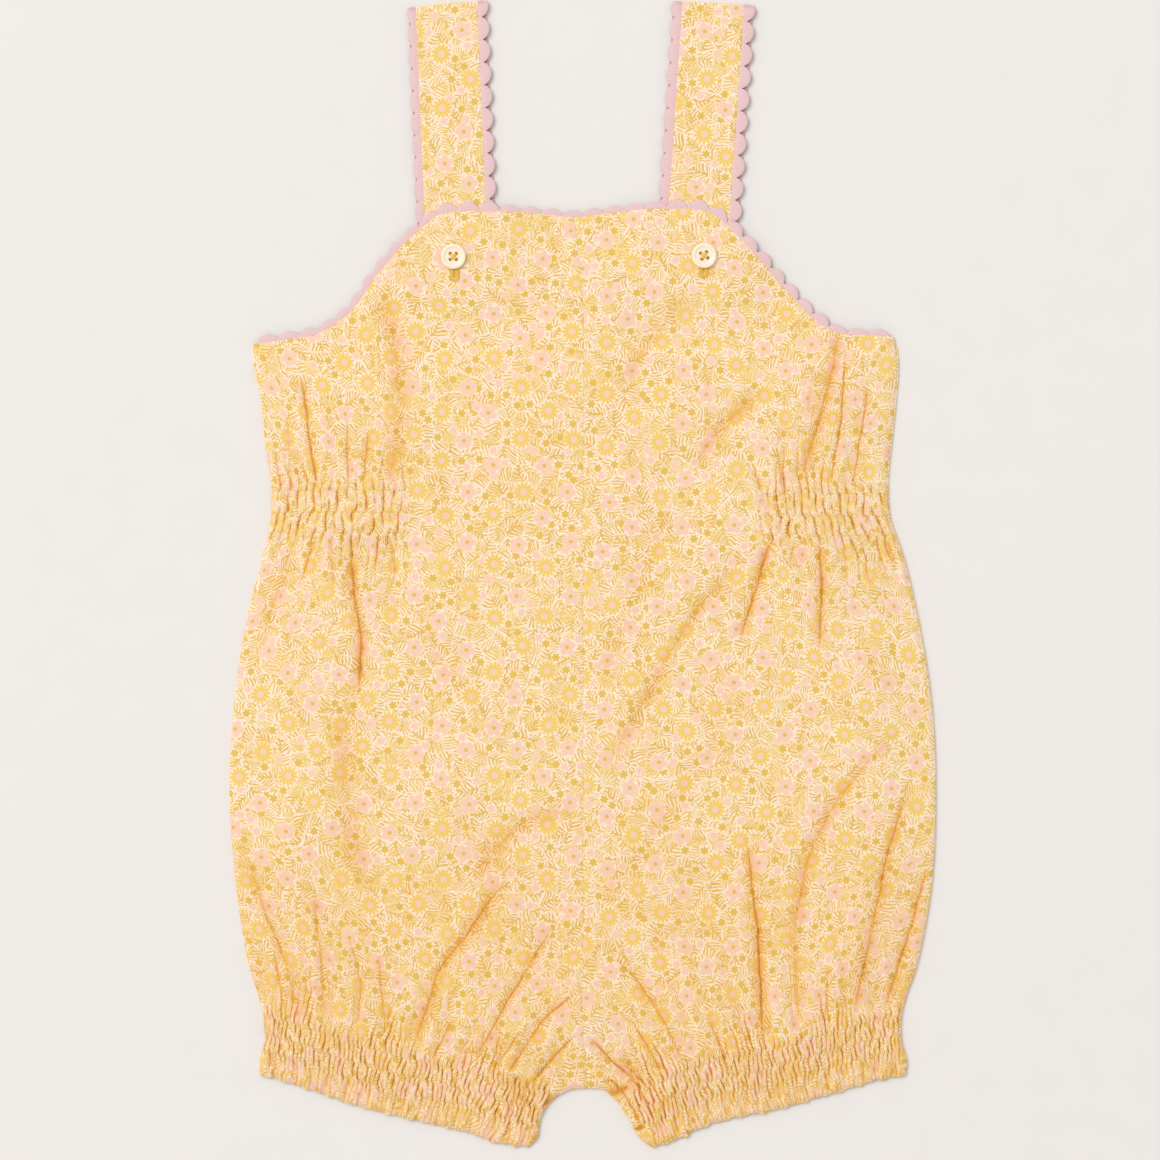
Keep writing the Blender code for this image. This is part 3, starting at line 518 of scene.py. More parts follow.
# How high the front lies. An entry that ends in Up or Down says where a soft change begins, and
# over what length it goes. One that ends in Reach is a distance from the edge.
lie = {
    "overBack": 1.5, "overStraps": 2.6, "bibDroop": 1.1,    # its underside over back, straps and surface
    "droopUp": (6.0, 14.0),     # from the back's top edge
    "strapsUp": (116.0, 10.0),
    "bodyPuff": 2.6, "bibPuff": 1.2, "puffReach": 34.0, "bibUp": (60.0, 70.0),
    "sunk": 0.45,               # the share of its puff that the hidden underside keeps
    "band": (21.0, 18.0), "bandUp": (96.0, 8.0),            # the bib's flat band along a strap
    "wall": 1.2,                # the room that a panel takes in the solid
    "cloth": 0.55,              # what is drawn of it
    "least": 0.35,              # and at its thinnest
    "seamHeight": 1.25,         # underside of the front at its sewn edges
    "sewnReach": 2.6, "edgeReach": 5.0, "rollReach": 20.0,
    "settled": (0.3, 3.0),      # share of a gather's height at the side seam, and how far in it is full
    "shirredCreases": 0.6,      # how much flatter the creases are where the cloth is shirred
    "rim": (0.25, 0.5),         # depth and width of the pressed edge
    "pucker": (0.2, 0.05), "seamDip": 0.8,          # the middle seam's depth and its unevenness, its width
    "seamWelt": (0.08, 2.6, 1.5),                   # height, distance and width of the welts beside it
    "place": (3.7, 2.1),        # of the print, outwards and up
    # painted warm shade: a little everywhere, more down the legs (where that starts, and over what length),
    # less in the crotch (its middle, half width, where that starts and over what length)
    "addedShade": 0.02, "legShade": 0.12, "legsDown": (90.0, 60.0),
    "crotch": (3.0, 15.0), "crotchDown": (185.0, 20.0),
}
# where a strap's middle folds at the shoulder, how it leans from there, and how its fold tilts
straps = {
    left: {"foldX": -61.4, "foldY": 256.0, "lean": 0.041, "tilt": 0.10},
    right: {"foldX": 58.6, "foldY": 256.4, "lean": -0.067, "tilt": -0.05},
}

# Creases and folds of the front: the places they run through, then depth, half width, and how
# sharp a core they have. A depth below zero is a ridge. Those of the first table end in the
# shirring, those of the second fade out at both ends.
gatherFolds = (
    # above the waist, left
    (((-126.9, 92), (-123.5, 66), (-119.2, 36)), 0.9, 2.4, 1),
    (((-105.8, 70), (-105.6, 38)), 0.5, 2.2, 0.7),
    (((-96.4, 66), (-98.6, 37)), 0.6, 2.2, 0.8),
    (((-96, 138), (-90, 122), (-84, 100), (-82.4, 72), (-88.4, 34)), 1, 5, 0.15),
    (((-89, 56), (-93.6, 30)), 0.5, 1.8, 0.6),
    (((-133.5, 74), (-131, 38)), 0.4, 2.6, 0.3),
    (((-76, 44), (-84, 27)), 0.35, 2.2, 0.3),
    # below the waist, left
    (((-101, -60), (-99.8, -30.2), (-102.5, -9), (-104.5, 9)), 1.7, 2.8, 0.8),
    (((-144.5, -34.7), (-140, -16.7), (-129, 16)), 0.65, 3.6, 0.3),
    (((-127.5, -6), (-120, 17)), 0.6, 2, 0.8),
    (((-112, -8), (-113, 17)), 0.45, 2, 0.5),
    (((-83.5, -4), (-87, 17)), 0.55, 2, 0.6),
    # above the waist, right
    (((121, 136), (116, 112), (110.3, 84.4), (96, 36)), 1.35, 3.6, 0.35),
    (((117.9, 106), (116.5, 76), (110.6, 36)), 0.6, 2.2, 1),
    (((128.4, 88), (125, 62), (120.2, 36)), 0.6, 2.2, 0.8),
    (((87.3, 58), (89.4, 34)), 0.5, 2, 0.7),
    (((96, 50), (97.4, 30)), 0.4, 1.8, 0.5),
    (((75.6, 52), (79.5, 38), (83.4, 20)), 0.6, 2, 0.9),
    (((103.5, 96), (101, 70)), 0.45, 3, 0.2),
    # below the waist, right
    (((69.8, -34), (75.4, -14), (81, 4), (85.5, 19)), 1.5, 2.7, 0.8),
    (((105.8, -38), (107, -12.2), (106, 17)), 1.35, 2.9, 0.8),
    (((141, 4), (131, 28)), 0.7, 2.4, 0.8),
    (((119, -6), (116.8, 15)), 0.4, 2, 0.5),
    (((91.5, 2), (95.5, 15)), 0.45, 2, 0.5),
    # left leg
    (((-153, -120), (-144.5, -147.2), (-131.9, -180.9), (-128, -199)), 0.75, 3.4, 0.4),
    (((-138.5, -170), (-134.5, -196)), 0.6, 2.4, 0.7),
    (((-122, -138), (-118.4, -165.2), (-116, -201)), 0.7, 3.4, 0.4),
    (((-106, -160), (-100.4, -180), (-101, -204)), 0.5, 3, 0.4),
    (((-92.3, -168), (-88.5, -206)), 0.6, 2.8, 0.5),
    (((-30, -133), (-38.7, -143), (-50.9, -160.7), (-64.4, -178.7), (-69.8, -194.4), (-76.5, -214)),
     1.3, 3.6, 0.5),
    (((-58, -200), (-68, -219)), 0.6, 2, 0.8),
    (((-10.4, -154), (-28.4, -183.2), (-50, -221)), 0.85, 3.2, 0.7),
    (((-27, -204), (-40, -223)), 0.6, 2.2, 0.7),
    (((0, -186), (-14.9, -198), (-34.5, -226)), 0.85, 2.8, 0.7),
    (((-2.3, -206.5), (-13, -217.5), (-24, -230)), 0.9, 2.4, 1),
    (((-26, -226), (-28.5, -244)), 0.6, 4.5, 0),
    (((-30, -224), (-31, -233), (-32.8, -243)), 1.4, 1.5, 1.8),
    (((-25.2, -226), (-25.6, -233), (-27, -243)), 1.4, 1.5, 1.8),
    # right leg
    (((72.9, -114), (75.2, -134), (78.3, -160.7), (80.6, -212)), 1.25, 3, 1),
    (((148, -66), (124.7, -88.7), (104.4, -120.2), (96.3, -151.7), (96.8, -208)), 0.95, 3.8, 0.35),
    (((149, -88), (137.3, -124.7), (130.1, -158.4), (120.6, -202)), 1.05, 3.4, 0.6),
    (((159, -122), (153.5, -138), (146.3, -162.9), (134.8, -197)), 1.05, 2.8, 0.8),
    (((56, -200), (65, -219)), 0.55, 2.2, 0.7),
    (((9.9, -167.4), (27.9, -187.7), (46, -221)), 0.75, 3.2, 0.6),
    (((22, -201), (35.5, -224)), 0.6, 2.2, 0.8),
    (((3, -208), (12, -218.4), (23, -227.5)), 0.8, 2.4, 1),
    (((17, -219), (24.5, -226.5), (34, -238)), 1.3, 2.8, 1),
    (((7.5, -229.6), (12.8, -228), (15.8, -232.2), (18.9, -238.4), (22.5, -244)), 0.9, 1.8, 1),
    (((15, -214), (21.5, -226), (25.5, -242)), 1.1, 6.5, 0),
    (((15.2, -229.5), (21.5, -239), (27.1, -250.6)), 1.8, 1.5, 2.4),
    (((21, -223), (26.5, -234), (31.9, -246)), 1.8, 1.6, 2.4),
    (((28.5, -225), (33, -233.5), (36.7, -243)), 1.4, 1.4, 1.8),
    (((110, -176), (108.5, -205)), 0.45, 2.4, 0.5),
)
looseFolds = (
    (((-117, 104), (-114, 74), (-112, 44)), -0.35, 5, 0),
    (((49.1, 129.6), (27.9, 102.6), (13, 72)), 0.6, 4.2, 0),
    (((84, 85.5), (63.9, 66.6), (47, 46)), 0.95, 3.8, 0.25),
    (((41, 37), (25.7, -3.2), (5, -58)), 0.45, 5, 0),
    (((76, 12), (48.2, -21.2), (30.2, -52.7), (8, -92)), 0.95, 3.4, 0.15),
    (((73, -34.7), (52.7, -84.2), (25.7, -124.7), (4, -156)), 0.4, 5.5, 0),
    (((-101, -38), (-107.1, -66.2), (-104.9, -111.2), (-93, -156)), 0.8, 6.2, 0),
    (((-78, -22), (-56, -50), (-34, -77)), 0.35, 4.6, 0),
    (((1, -106.5), (-28.4, -113.4), (-41.9, -126.9), (-48, -146)), 0.85, 4.8, 0),
    (((-66, 60), (-60, 10)), 0.25, 6, 0),
    (((130, -30), (138, -58)), 0.3, 5, 0),
)
# short sharp folds in the frill below the leg shirring
frillFolds = (
    (((-137.5, -212), (-139.5, -228.5)), 0.9, 1.4, 1),
    (((-112.5, -224), (-117, -236)), 1.1, 1.5, 1),
    (((-67, -239), (-69, -250)), 0.8, 1.2, 0.8),
    (((-33, -245), (-33.8, -259)), 1.1, 1.4, 1),
    (((-49, -243), (-51, -254)), 0.8, 1.3, 0.8),
    (((47, -240), (49.5, -254)), 1, 1.4, 1),
    (((72.5, -232), (75, -246)), 1.1, 1.5, 1),
    (((104, -226), (106, -239)), 0.8, 1.3, 0.8),
    (((129, -216), (131, -231)), 1, 1.3, 1),
)
foldForm = {
    "swing": 0.45, "swingEvery": 9.0,       # how far a fold's line strays, and how often
    "core": 0.42,                           # half width of its sharp core
    "low": 0.45, "coreLow": 0.35,           # height lost to a depth of 1, and to a sharpness of 1
    # how strong and how wide the painted shade along a fold is, and how much more of it its core takes
    "toneAndShade": 0.52, "shadeHalf": 0.9, "coreShade": 1.2,     # how strongly their hollow shows
    "uneven": 0.2,
    # the share of its length over which a fold of each table fades in and out
    "fades": ((gatherFolds, (0.25, 0.12)), (looseFolds, (0.25, 0.25)), (frillFolds, (0.3, 0.1))),
}


def foldPath(knots, step):
    # a fold's line, with a little swing of its own
    path = evenPath(smoothPath(knots, step), step)
    share = np.linspace(0.0, 1.0, len(path))
    along = directions(path)
    aside = np.column_stack((-along[:, 1], along[:, 0]))
    stray = ripple(share * lengthAlong(path)[-1] / foldForm["swingEvery"], knots[0][0])
    return path + aside * (foldForm["swing"] * stray * np.sin(np.pi * share))[:, None]


def foldForms(points, rows, fades):
    # troughs with faintly raised sides and a narrow core; gives their height and their painted shade
    form = foldForm
    height, hollow = np.zeros((2, len(points)))
    for number, (knots, depth, halfWidth, sharp) in enumerate(rows):
        path = foldPath(knots, 2.0)
        low = path.min(0) - 4.0 * halfWidth
        high = path.max(0) + 4.0 * halfWidth
        near = np.flatnonzero(((points > low) & (points < high)).all(1))
        if len(near) == 0:
            continue
        distance, place = nearestOn(points[near], path[:-1], path[1:])
        share = place / lengthAlong(path)[-1]
        fade = softStep(share / fades[0]) * softStep((1.0 - share) / fades[1])
        fade = fade * (1.0 + form["uneven"] * ripple(share * 5.0, number))
        q = distance / halfWidth
        narrow = sharp * bell(distance, form["core"])
        trough = form["low"] * depth * (1.0 - 0.5 * q * q) * np.exp(-q * q / 2.0)
        height[near] -= fade * (trough + form["coreLow"] * narrow)
        # painted shade along the trough, more of it in the core
        inside = form["toneAndShade"] * max(depth, 0.0) * bell(q, form["shadeHalf"]) + form["coreShade"] * narrow
        hollow[near] = np.maximum(hollow[near], fade * inside)
    return height, hollow


def allFolds(points):
    height, hollow = np.zeros((2, len(points)))
    for rows, fades in foldForm["fades"]:
        one, other = foldForms(points, rows, fades)
        height += one
        hollow = np.maximum(hollow, other)
    return height, hollow


def strapMiddle(strap, y):
    return strap["foldX"] + (strap["foldY"] - y) * strap["lean"]


def bandShare(points):
    # 1 where the bib lies flat on a strap
    x, y = points[:, 0], points[:, 1]
    share = np.zeros(len(points))
    for strap in straps.values():
        share = np.maximum(share, 1.0 - stepUp(abs(x - strapMiddle(strap, y)), *lie["band"]))
    return share * stepUp(y, *lie["bandUp"])


def restingHeights(y):
    # underside of the cloth without its puff: over the back or the surface, and over a strap
    return (mixed(lie["overBack"], lie["bibDroop"], stepUp(y - outline["backTop"], *lie["droopUp"])),
            mixed(lie["overBack"], lie["overStraps"], stepUp(y, *lie["strapsUp"])))


# shirring
gather = {
    "sharpness": 0.38, "runSharpness": 0.48,        # of the troughs between the rows and beyond them
    "unevenness": (0.75, 0.95, 1.6),                # a trough's depth: usual, swing, most
    # the most painted shade that a gather's trough takes
    "mostShade": 1.6,
    # how far beyond the rows the narrow pleats, their puff and the print's jumps go
    "pleatReach": 3.0, "puffReach": 5.0, "jumpReach": 4.0,
    "swellFrom": 6.0, "spreadReach": 45.0,
    "casingOver": 1.8, "fadeOver": 6.0,
}
waist = {
    "rows": {left: (37.3, 27.4, 18.4), right: (35.6, 25.6, 17.1)},
    "innerEnd": {left: 80.0, right: 81.5},
    # with the puff and depth of a gather, the strength of the painted shade in its trough
    "gathers": 15, "puff": 0.65, "trough": 0.9, "toneAndShade": 1.7, "fullness": 0.28, "pitch": 4.0,
    "dip": (0.2, 0.75),         # how far, and how broadly, the elastic thread pulls a row in
    "stagger": (0.15, 0.35, 0.2),       # of a gather, between one casing and the next
    "hidden": 0.55, "jump": 2.2,        # cloth out of sight in each trough, and how unevenly, in mm
    "runOn": (4.0, 19.0),       # how far beyond the rows the shortest and the longest trough go
    "swells": (1.45, 22.0, 30.0),       # beyond the rows: how close across and along, and how far out
    "swell": 0.4,
    "innerFade": (-5.0, 8.0), "spreadFrom": (-2.0, 12.0),   # outwards from the rows' inner end
}
cuff = {
    "rows": (11.5, 19.0, 27.0), # up from the hem
    # with the puff and depth of a gather, the strength of the painted shade in its trough
    "gathers": 60, "puff": 0.55, "trough": 0.72, "toneAndShade": 2.25, "fullness": 0.24, "dip": (0.2, 0.75),
    "stagger": (0.35, 0.6, 0.45), "hidden": 0.7, "jump": 2.6, "runOn": (4.0, 18.0),
    # beyond the rows: the swells, and the painted shade in their hollows
    "swells": (1.1, 30.0, 46.0), "swell": 0.5, "swellShade": 0.45,
    "shadeAbove": (0.05, 9.0),   # painted shade just above the rows: how much, and how far up it reaches
    "lean": (4.5, 22.0),        # degrees inwards at the outer and the inner end
    "waves": 13, "swing": 0.4, "fineWave": 2.6,     # along the hem; a fine one is so many gathers long
    "dent": (0.9, 1.1), "endFade": 0.03,
    "unshifted": 0.7,           # share of the hem where the print keeps its place
    "innerEndShade": 0.4, "innerShadeFrom": (0.78, 0.15),      # more painted shade at the inner end: how much, from what share of the hem, over what share
    "frill": (1.6, 9.0), "frillHigh": 0.6,          # wider waves below the lowest row
    # the frill: where it begins, how much flatter it lies, how much less painted shade it takes, and its own
    # painted shade in its troughs and all over
    "frillFrom": 4.0, "flatter": 0.6, "paler": 0.5, "frillShade": (0.5, 0.02),
    "top": -130.0,              # nothing above it belongs to a leg's gathers
}


def tangle(x, y, seed):
    # smooth unevenness over a plane, between about -1 and 1
    return (0.5 * np.sin(x + 0.6 * y + seed) + 0.3 * np.sin(2.1 * x - 1.3 * y + 2.3 * seed)
            + 0.2 * np.sin(0.7 * x + 2.9 * y + 3.7 * seed))


def troughs(tau, v, seed, sharpness):
    # narrow troughs between puffed gathers: how deep each point lies in one, and the trough's number
    number = np.round(tau)
    away = 2.0 * np.abs(tau - number)
    depth = 1.0 - np.maximum(away * (2.0 - away), 1e-6)**sharpness
    usual, swing, most = gather["unevenness"]
    return depth * np.clip(usual + swing * tangle(number * 2.3, v / 2.4, seed), 0.0, most), number


def gathered(tau, v, beyond, form, seed):
    # puffed gathers between the rows; beyond them a few of the troughs run on and widen
    pleat, number = troughs(tau, v, seed, gather["sharpness"])
    fine = bell(beyond, gather["pleatReach"])
    chance = 0.5 + 0.5 * np.sin(number * 12.9 + seed * 5.0)
    wide, _ = troughs(tau, v / 4.0, seed, gather["runSharpness"])
    shortest, longest = form["runOn"]
    runOn = (1.0 - fine) * bell(beyond, shortest + (longest - shortest) * chance**2)
    depth = pleat * fine + (0.5 + 0.5 * chance) * wide * runOn
    height = form["puff"] * bell(beyond, gather["puffReach"]) - form["trough"] * depth
    # gives the height, and the painted shade in the troughs up to a limit
    return height, np.clip(form["toneAndShade"] * depth, 0.0, gather["mostShade"])


def casing(v, form, rows):
    # the gathers start anew in every casing between two rows, part of a gather on
    return sum(share * softStep((v - row) / gather["casingOver"] + 0.5)
               for row, share in zip(rows, form["stagger"]))


def sliced(tau, beyond, form, pitch, seed):
    # how far the print shifts outwards and up from gather to gather, as cloth hides in the troughs
    crest = np.floor(tau)
    within = bell(beyond, gather["jumpReach"])
    outwards = form["hidden"] * pitch * (tau - crest - 0.5)
    outwards = outwards + form["jump"] * np.sin(crest * 12.9 + seed * 5.0)
    return within * outwards, within * 0.6 * form["jump"] * np.sin(crest * 7.7 + seed * 3.0)


def swells(tau, v, beyond, form, seed):
    # soft broad swells that the gathers go over into beyond the rows
    across, along, reach = form["swells"]
    away = 1.0 - bell(beyond, gather["swellFrom"])
    return tangle(tau * across, v / along, seed) * away * bell(beyond, reach)


def rowDips(v, rows, form):
    # each row of elastic thread presses the crests down a little
    depth, width = form["dip"]
    return depth * sum(bell(v - row, width) for row in rows)


def seamOut(y, side):
    # how far out the side seam is
    seam = runs[side]["side"][::-1]
    return np.interp(y, seam[:, 1], seam[:, 0] * side)


def waistTau(out, y, side):
    # counts the gathers outwards from the inner end of the waist shirring
    rows = waist["rows"][side]
    inner = waist["innerEnd"][side]
    beyond = np.maximum(np.maximum(y - rows[0], rows[-1] - y), 0.0)
    share = (out - inner) / (seamOut(y, side) - 1.0 - inner)
    uneven = 0.4 * tangle(out / 8.0, y / 6.0, 1.5 + side) + casing(y, waist, rows)
    return share * waist["gathers"] + uneven, beyond


def waistGathers(points, side):
    # height and painted shade of the gathers at one side of the waist, and how far the print shifts
    out, y = points[:, 0] * side, points[:, 1]
    rows = waist["rows"][side]
    inner = waist["innerEnd"][side]
    tau, beyond = waistTau(out, y, side)
    lateral = stepUp(out - inner, *waist["innerFade"])
    height, hollow = gathered(tau, y, beyond, waist, 1.0 + side + 3.0 * (y > rows[0]))
    height -= rowDips(y, rows, waist)
    broad = swells(tau, y, beyond, waist, 4.0 + side)
    # painted shade in the hollows of the broad swells
    hollow = hollow + waist["swell"] * np.maximum(-broad, 0.0)
    spread = bell(beyond, gather["spreadReach"]) * stepUp(out - inner, *waist["spreadFrom"])
    outwards, up = sliced(tau, beyond, waist, waist["pitch"], 3.0 + side)
    across = spread * waist["fullness"] * np.maximum(out - inner, 0.0) + lateral * outwards
    shift = np.column_stack((side * across, lateral * up))
    return lateral * (height + waist["swell"] * broad), lateral * hollow, shift


def cuffLines(side, step=0.6):
    # points along the hem, the way up the gathers from each, and its share of the hem
    hem = evenPath(runs[side]["hem"], step)
    share = np.linspace(0.0, 1.0, len(hem))
    lean = np.radians(mixed(*cuff["lean"], share))
    return hem, np.stack((-side * np.sin(lean), np.cos(lean)), 1), share


def cuffPlace(points, side):
    # share along the hem and distance up the gather line, for each point
    hem, up, share = cuffLines(side)
    feet, leans, shares = hem[::3], up[::3], share[::3]
    across = (points[:, None, 0] - feet[:, 0]) * leans[:, 1]
    inward = -side * (across - (points[:, None, 1] - feet[:, 1]) * leans[:, 0])
    count = np.clip((inward > 0).sum(1), 1, len(feet) - 1)
    rows = np.arange(len(points))
    before, after = inward[rows, count - 1], inward[rows, count]
    t = np.clip(before / np.where(before == after, 1.0, before - after), -4.0, 4.0)
    place = np.clip(mixed(shares[count - 1], shares[count], t), 0.0, 1.0)
    foot = sampled(place, share, hem)
    return place, ((points - foot) * sampled(place, share, up)).sum(1)


def cuffTau(place, up, side):
    # counts a leg's gathers inwards from the side seam
    uneven = 0.5 * tangle(place * 23.0, up / 4.5, 2.5 + side)
    return place * cuff["gathers"] + uneven + casing(up, cuff, cuff["rows"])


def cuffGathers(points, side):
    # height and painted shade of a leg's gathers, and how far the print shifts
    height, hollow = np.zeros((2, len(points)))
    shift = np.zeros((len(points), 2))
    near = np.flatnonzero(points[:, 1] < cuff["top"])
    if len(near) == 0:
        return height, hollow, shift
    place, up = cuffPlace(points[near], side)
    rows = cuff["rows"]
    length = lengthAlong(runs[side]["hem"])[-1]
    above = np.maximum(up - rows[-1], 0.0)
    ruffle = softStep((rows[0] - up) / cuff["frillFrom"])
    tau = cuffTau(place, up, side)
    fine, deepShade = gathered(tau, up, above, cuff, 2.0 + side)
    # more painted shade towards the inner end of the hem
    deepShade = deepShade * (1.0 + cuff["innerEndShade"] * stepUp(place, *cuff["innerShadeFrom"]))
    # below the lowest row the cloth opens into a frill of wider waves
    close, along = cuff["frill"]
    frill = cuff["frillHigh"] * tangle(tau * close, up / along, 6.0 + side)
    broad = swells(tau, up, above, cuff, 8.0 + side)
    height[near] = fine * (1.0 - cuff["flatter"] * ruffle) + ruffle * frill + cuff["swell"] * broad
    height[near] -= rowDips(up, rows, cuff)
    # painted shade: in the frill's troughs and all over it, in the hollows of the swells, and just above the
    # rows; the frill takes less of the gathers' shade
    deepest, everywhere = cuff["frillShade"]
    inFrill = deepest * ruffle * np.maximum(-frill, 0.0) + everywhere * ruffle
    toneAndShade, reach = cuff["shadeAbove"]
    inSwells = cuff["swellShade"] * np.maximum(-broad, 0.0) + toneAndShade * bell(above, reach) * (1.0 - ruffle)
    hollow[near] = deepShade * (1.0 - cuff["paler"] * ruffle) + inSwells + inFrill
    spread = bell(above, gather["spreadReach"]) * cuff["fullness"]
    outwards, rise = sliced(tau, above, cuff, length / cuff["gathers"], 6.0 + side)
    shift[near, 0] = side * (spread * (cuff["unshifted"] - place) * length - outwards)
    shift[near, 1] = rise
    return height, hollow, shift


def shirredShare(points, side):
    # 1 where the cloth is shirred
    high, centre, low = waist["rows"][side]
    x, y = points[:, 0] * side, points[:, 1]
    over = gather["fadeOver"]
    across = softStep((x - waist["innerEnd"][side] + over) / over)
    atWaist = across * (1.0 - softStep((abs(y - centre) - (high - low) / 2 - 1.0) / over))
    up = distanceTo(points, ("hem",), (side,))
    return np.maximum(atWaist, 1.0 - softStep((up - cuff["rows"][-1] + 1.0) / over))


def clothRoll(points):
    # faint unevenness of cloth that lies on cloth
    x, y = points[:, 0], points[:, 1]
    return (0.20 * np.sin(x / 12.7 + y / 21.0 + 0.5) + 0.17 * np.sin(x / 8.9 - y / 15.3 + 2.1)
            + 0.12 * np.sin(x / 5.1 + y / 9.7 + 4.0))


def frontLie(points, side):
    # the front's cloth at each point: its top and underside, its place in the print, its painted shade
    inset = distanceTo(points, ("top", "armhole", "side", "hem", "inseam"), sides)
    sewn = distanceTo(points, ("side", "hem", "inseam"), sides)
    x, y = points[:, 0], points[:, 1]
    base, onStraps = restingHeights(y)
    onBody = 1.0 - stepUp(y, *lie["bibUp"])
    puff = mixed(lie["bibPuff"], lie["bodyPuff"], onBody) * softStep(inset / lie["puffReach"])
    band = bandShare(points)
    crease, hollow = allFolds(points)
    free = softStep(inset / lie["edgeReach"]) * (1.0 - lie["shirredCreases"] * shirredShare(points, side))
    roll = clothRoll(points) * softStep(inset / lie["rollReach"])
    lowest = mixed(base + lie["sunk"] * puff, onStraps, band)
    under = mixed(base + puff, onStraps, band)
    loose = (crease * free + roll) * (1.0 - band)

    atWaist, waistShade, waistShift = waistGathers(points, side)
    atCuff, cuffShade, cuffShift = cuffGathers(points, side)
    least, inwards = lie["settled"]
    settle = softStep(distanceTo(points, ("side",), (side,)) / inwards)
    gathers = (atWaist + atCuff) * mixed(least, 1.0, settle)
    # the middle seam draws the cloth in unevenly, between two faint welts
    seamLine = runs[side]["seam"]
    toSeam = np.abs(x - np.interp(-y, -seamLine[:, 1], seamLine[:, 0]))
    depth, unevenness = lie["pucker"]
    pucker = depth + unevenness * np.sin(y * 1.1) + unevenness * np.sin(y * 0.47)
    high, away, width = lie["seamWelt"]
    seamDip = pucker * bell(toSeam, lie["seamDip"]) - high * bell(toSeam - away, width)
    top = under + lie["wall"] + loose + gathers - seamDip
    # sewn edges roll down to the layer below
    rolled = lie["seamHeight"] + lie["cloth"] + np.maximum(gathers, -0.4) * 0.6
    depth, width = lie["rim"]
    top = mixed(rolled, top, softStep(sewn / lie["sewnReach"])**0.7) - depth * bell(inset, width)
    edgeUnder = np.minimum(top - lie["cloth"], lowest)
    bottom = mixed(top - lie["cloth"], edgeUnder, softStep(inset / lie["edgeReach"]))
    top = np.maximum(top, bottom + lie["least"])
    # the print's place: the cloth's own flat x and y, gathered up where it is shirred
    placed = points + waistShift + cuffShift + np.multiply(side, lie["place"])
    # painted warm shade, a little everywhere and more towards the legs, but not in the crotch
    uneven = 1.0 + 0.5 * tangle(x / 14.0, y / 22.0, 2.0)
    addedShade = lie["addedShade"] + lie["legShade"] * stepUp(-y, *lie["legsDown"]) * uneven
    middle, half = lie["crotch"]
    addedShade = addedShade * mixed(1.0, softStep(abs(x + middle) / half), stepUp(-y, *lie["crotchDown"]))
    hollow = np.maximum.reduce((hollow * free, waistShade, cuffShade)) + addedShade
    return top, bottom, placed, hollow


# panel meshes: an even net, finer along the shirring and the creases
panelNet = {
    "closest": 0.36,            # that two points may come to each other
    "clear": 0.62,              # of the net's spacing, round the finer points
    "cuffFine": 30.0, "cuffCoarse": (30.3, 46.0, 1.7),      # up from the hem: every row, then wider apart
    "waistBeyond": (20.0, 22.0), "waistRow": 1.15,
    "besideCreases": (0.0, 0.3, -0.3, 0.65, -0.65, 1.1, -1.1, 1.8, -1.8),
    "rimStep": 0.3, "hiddenRimStep": 0.5,
}


def netPoints(spacing, loop):
    # an even net of points inside a loop
    low, high = loop.min(0), loop.max(0)
    ys = np.arange(low[1], high[1], spacing * 0.866)
    xs = np.arange(low[0], high[0], spacing)
    net = np.array([(x + spacing / 2 * (row % 2), y) for row, y in enumerate(ys) for x in xs])
    return net[insideLoop(net, loop)]


def hemSwing(side, share):
    # the hem's own waves, outwards from its smooth line, with a dent at each fold of the frill
    wave = np.sin(2 * np.pi * cuff["waves"] * share) * (1.0 + 0.5 * ripple(share * 9.0, 2.0))
    fine = np.cos(2 * np.pi * (share * cuff["gathers"]) / cuff["fineWave"])
    swing = cuff["swing"] * (0.7 * wave + 0.5 * fine)
    hem = runs[side]["hem"][:, 0]
    foot = np.interp(share, np.linspace(0, 1, len(hem)), hem)
    depth, width = cuff["dent"]
    for knots, *_ in frillFolds:
        swing = swing - depth * bell(foot - knots[-1][0], width)
    return swing * softStep(share / cuff["endFade"]) * softStep((1.0 - share) / cuff["endFade"])


def keepClear(points, others, spacing):
    # those points that keep a distance from all the others, by a grid of small squares
    cells = {}
    for x, y in others.tolist():
        cells.setdefault((int(x // spacing), int(y // spacing)), []).append((x, y))
    kept = []
    for x, y in points.tolist():
        i, j = int(x // spacing), int(y // spacing)
        if all((x - a)**2 + (y - b)**2 >= spacing**2
               for di in (-1, 0, 1) for dj in (-1, 0, 1) for a, b in cells.get((i + di, j + dj), ())):
            kept.append((x, y))
    return np.array(kept).reshape(-1, 2)


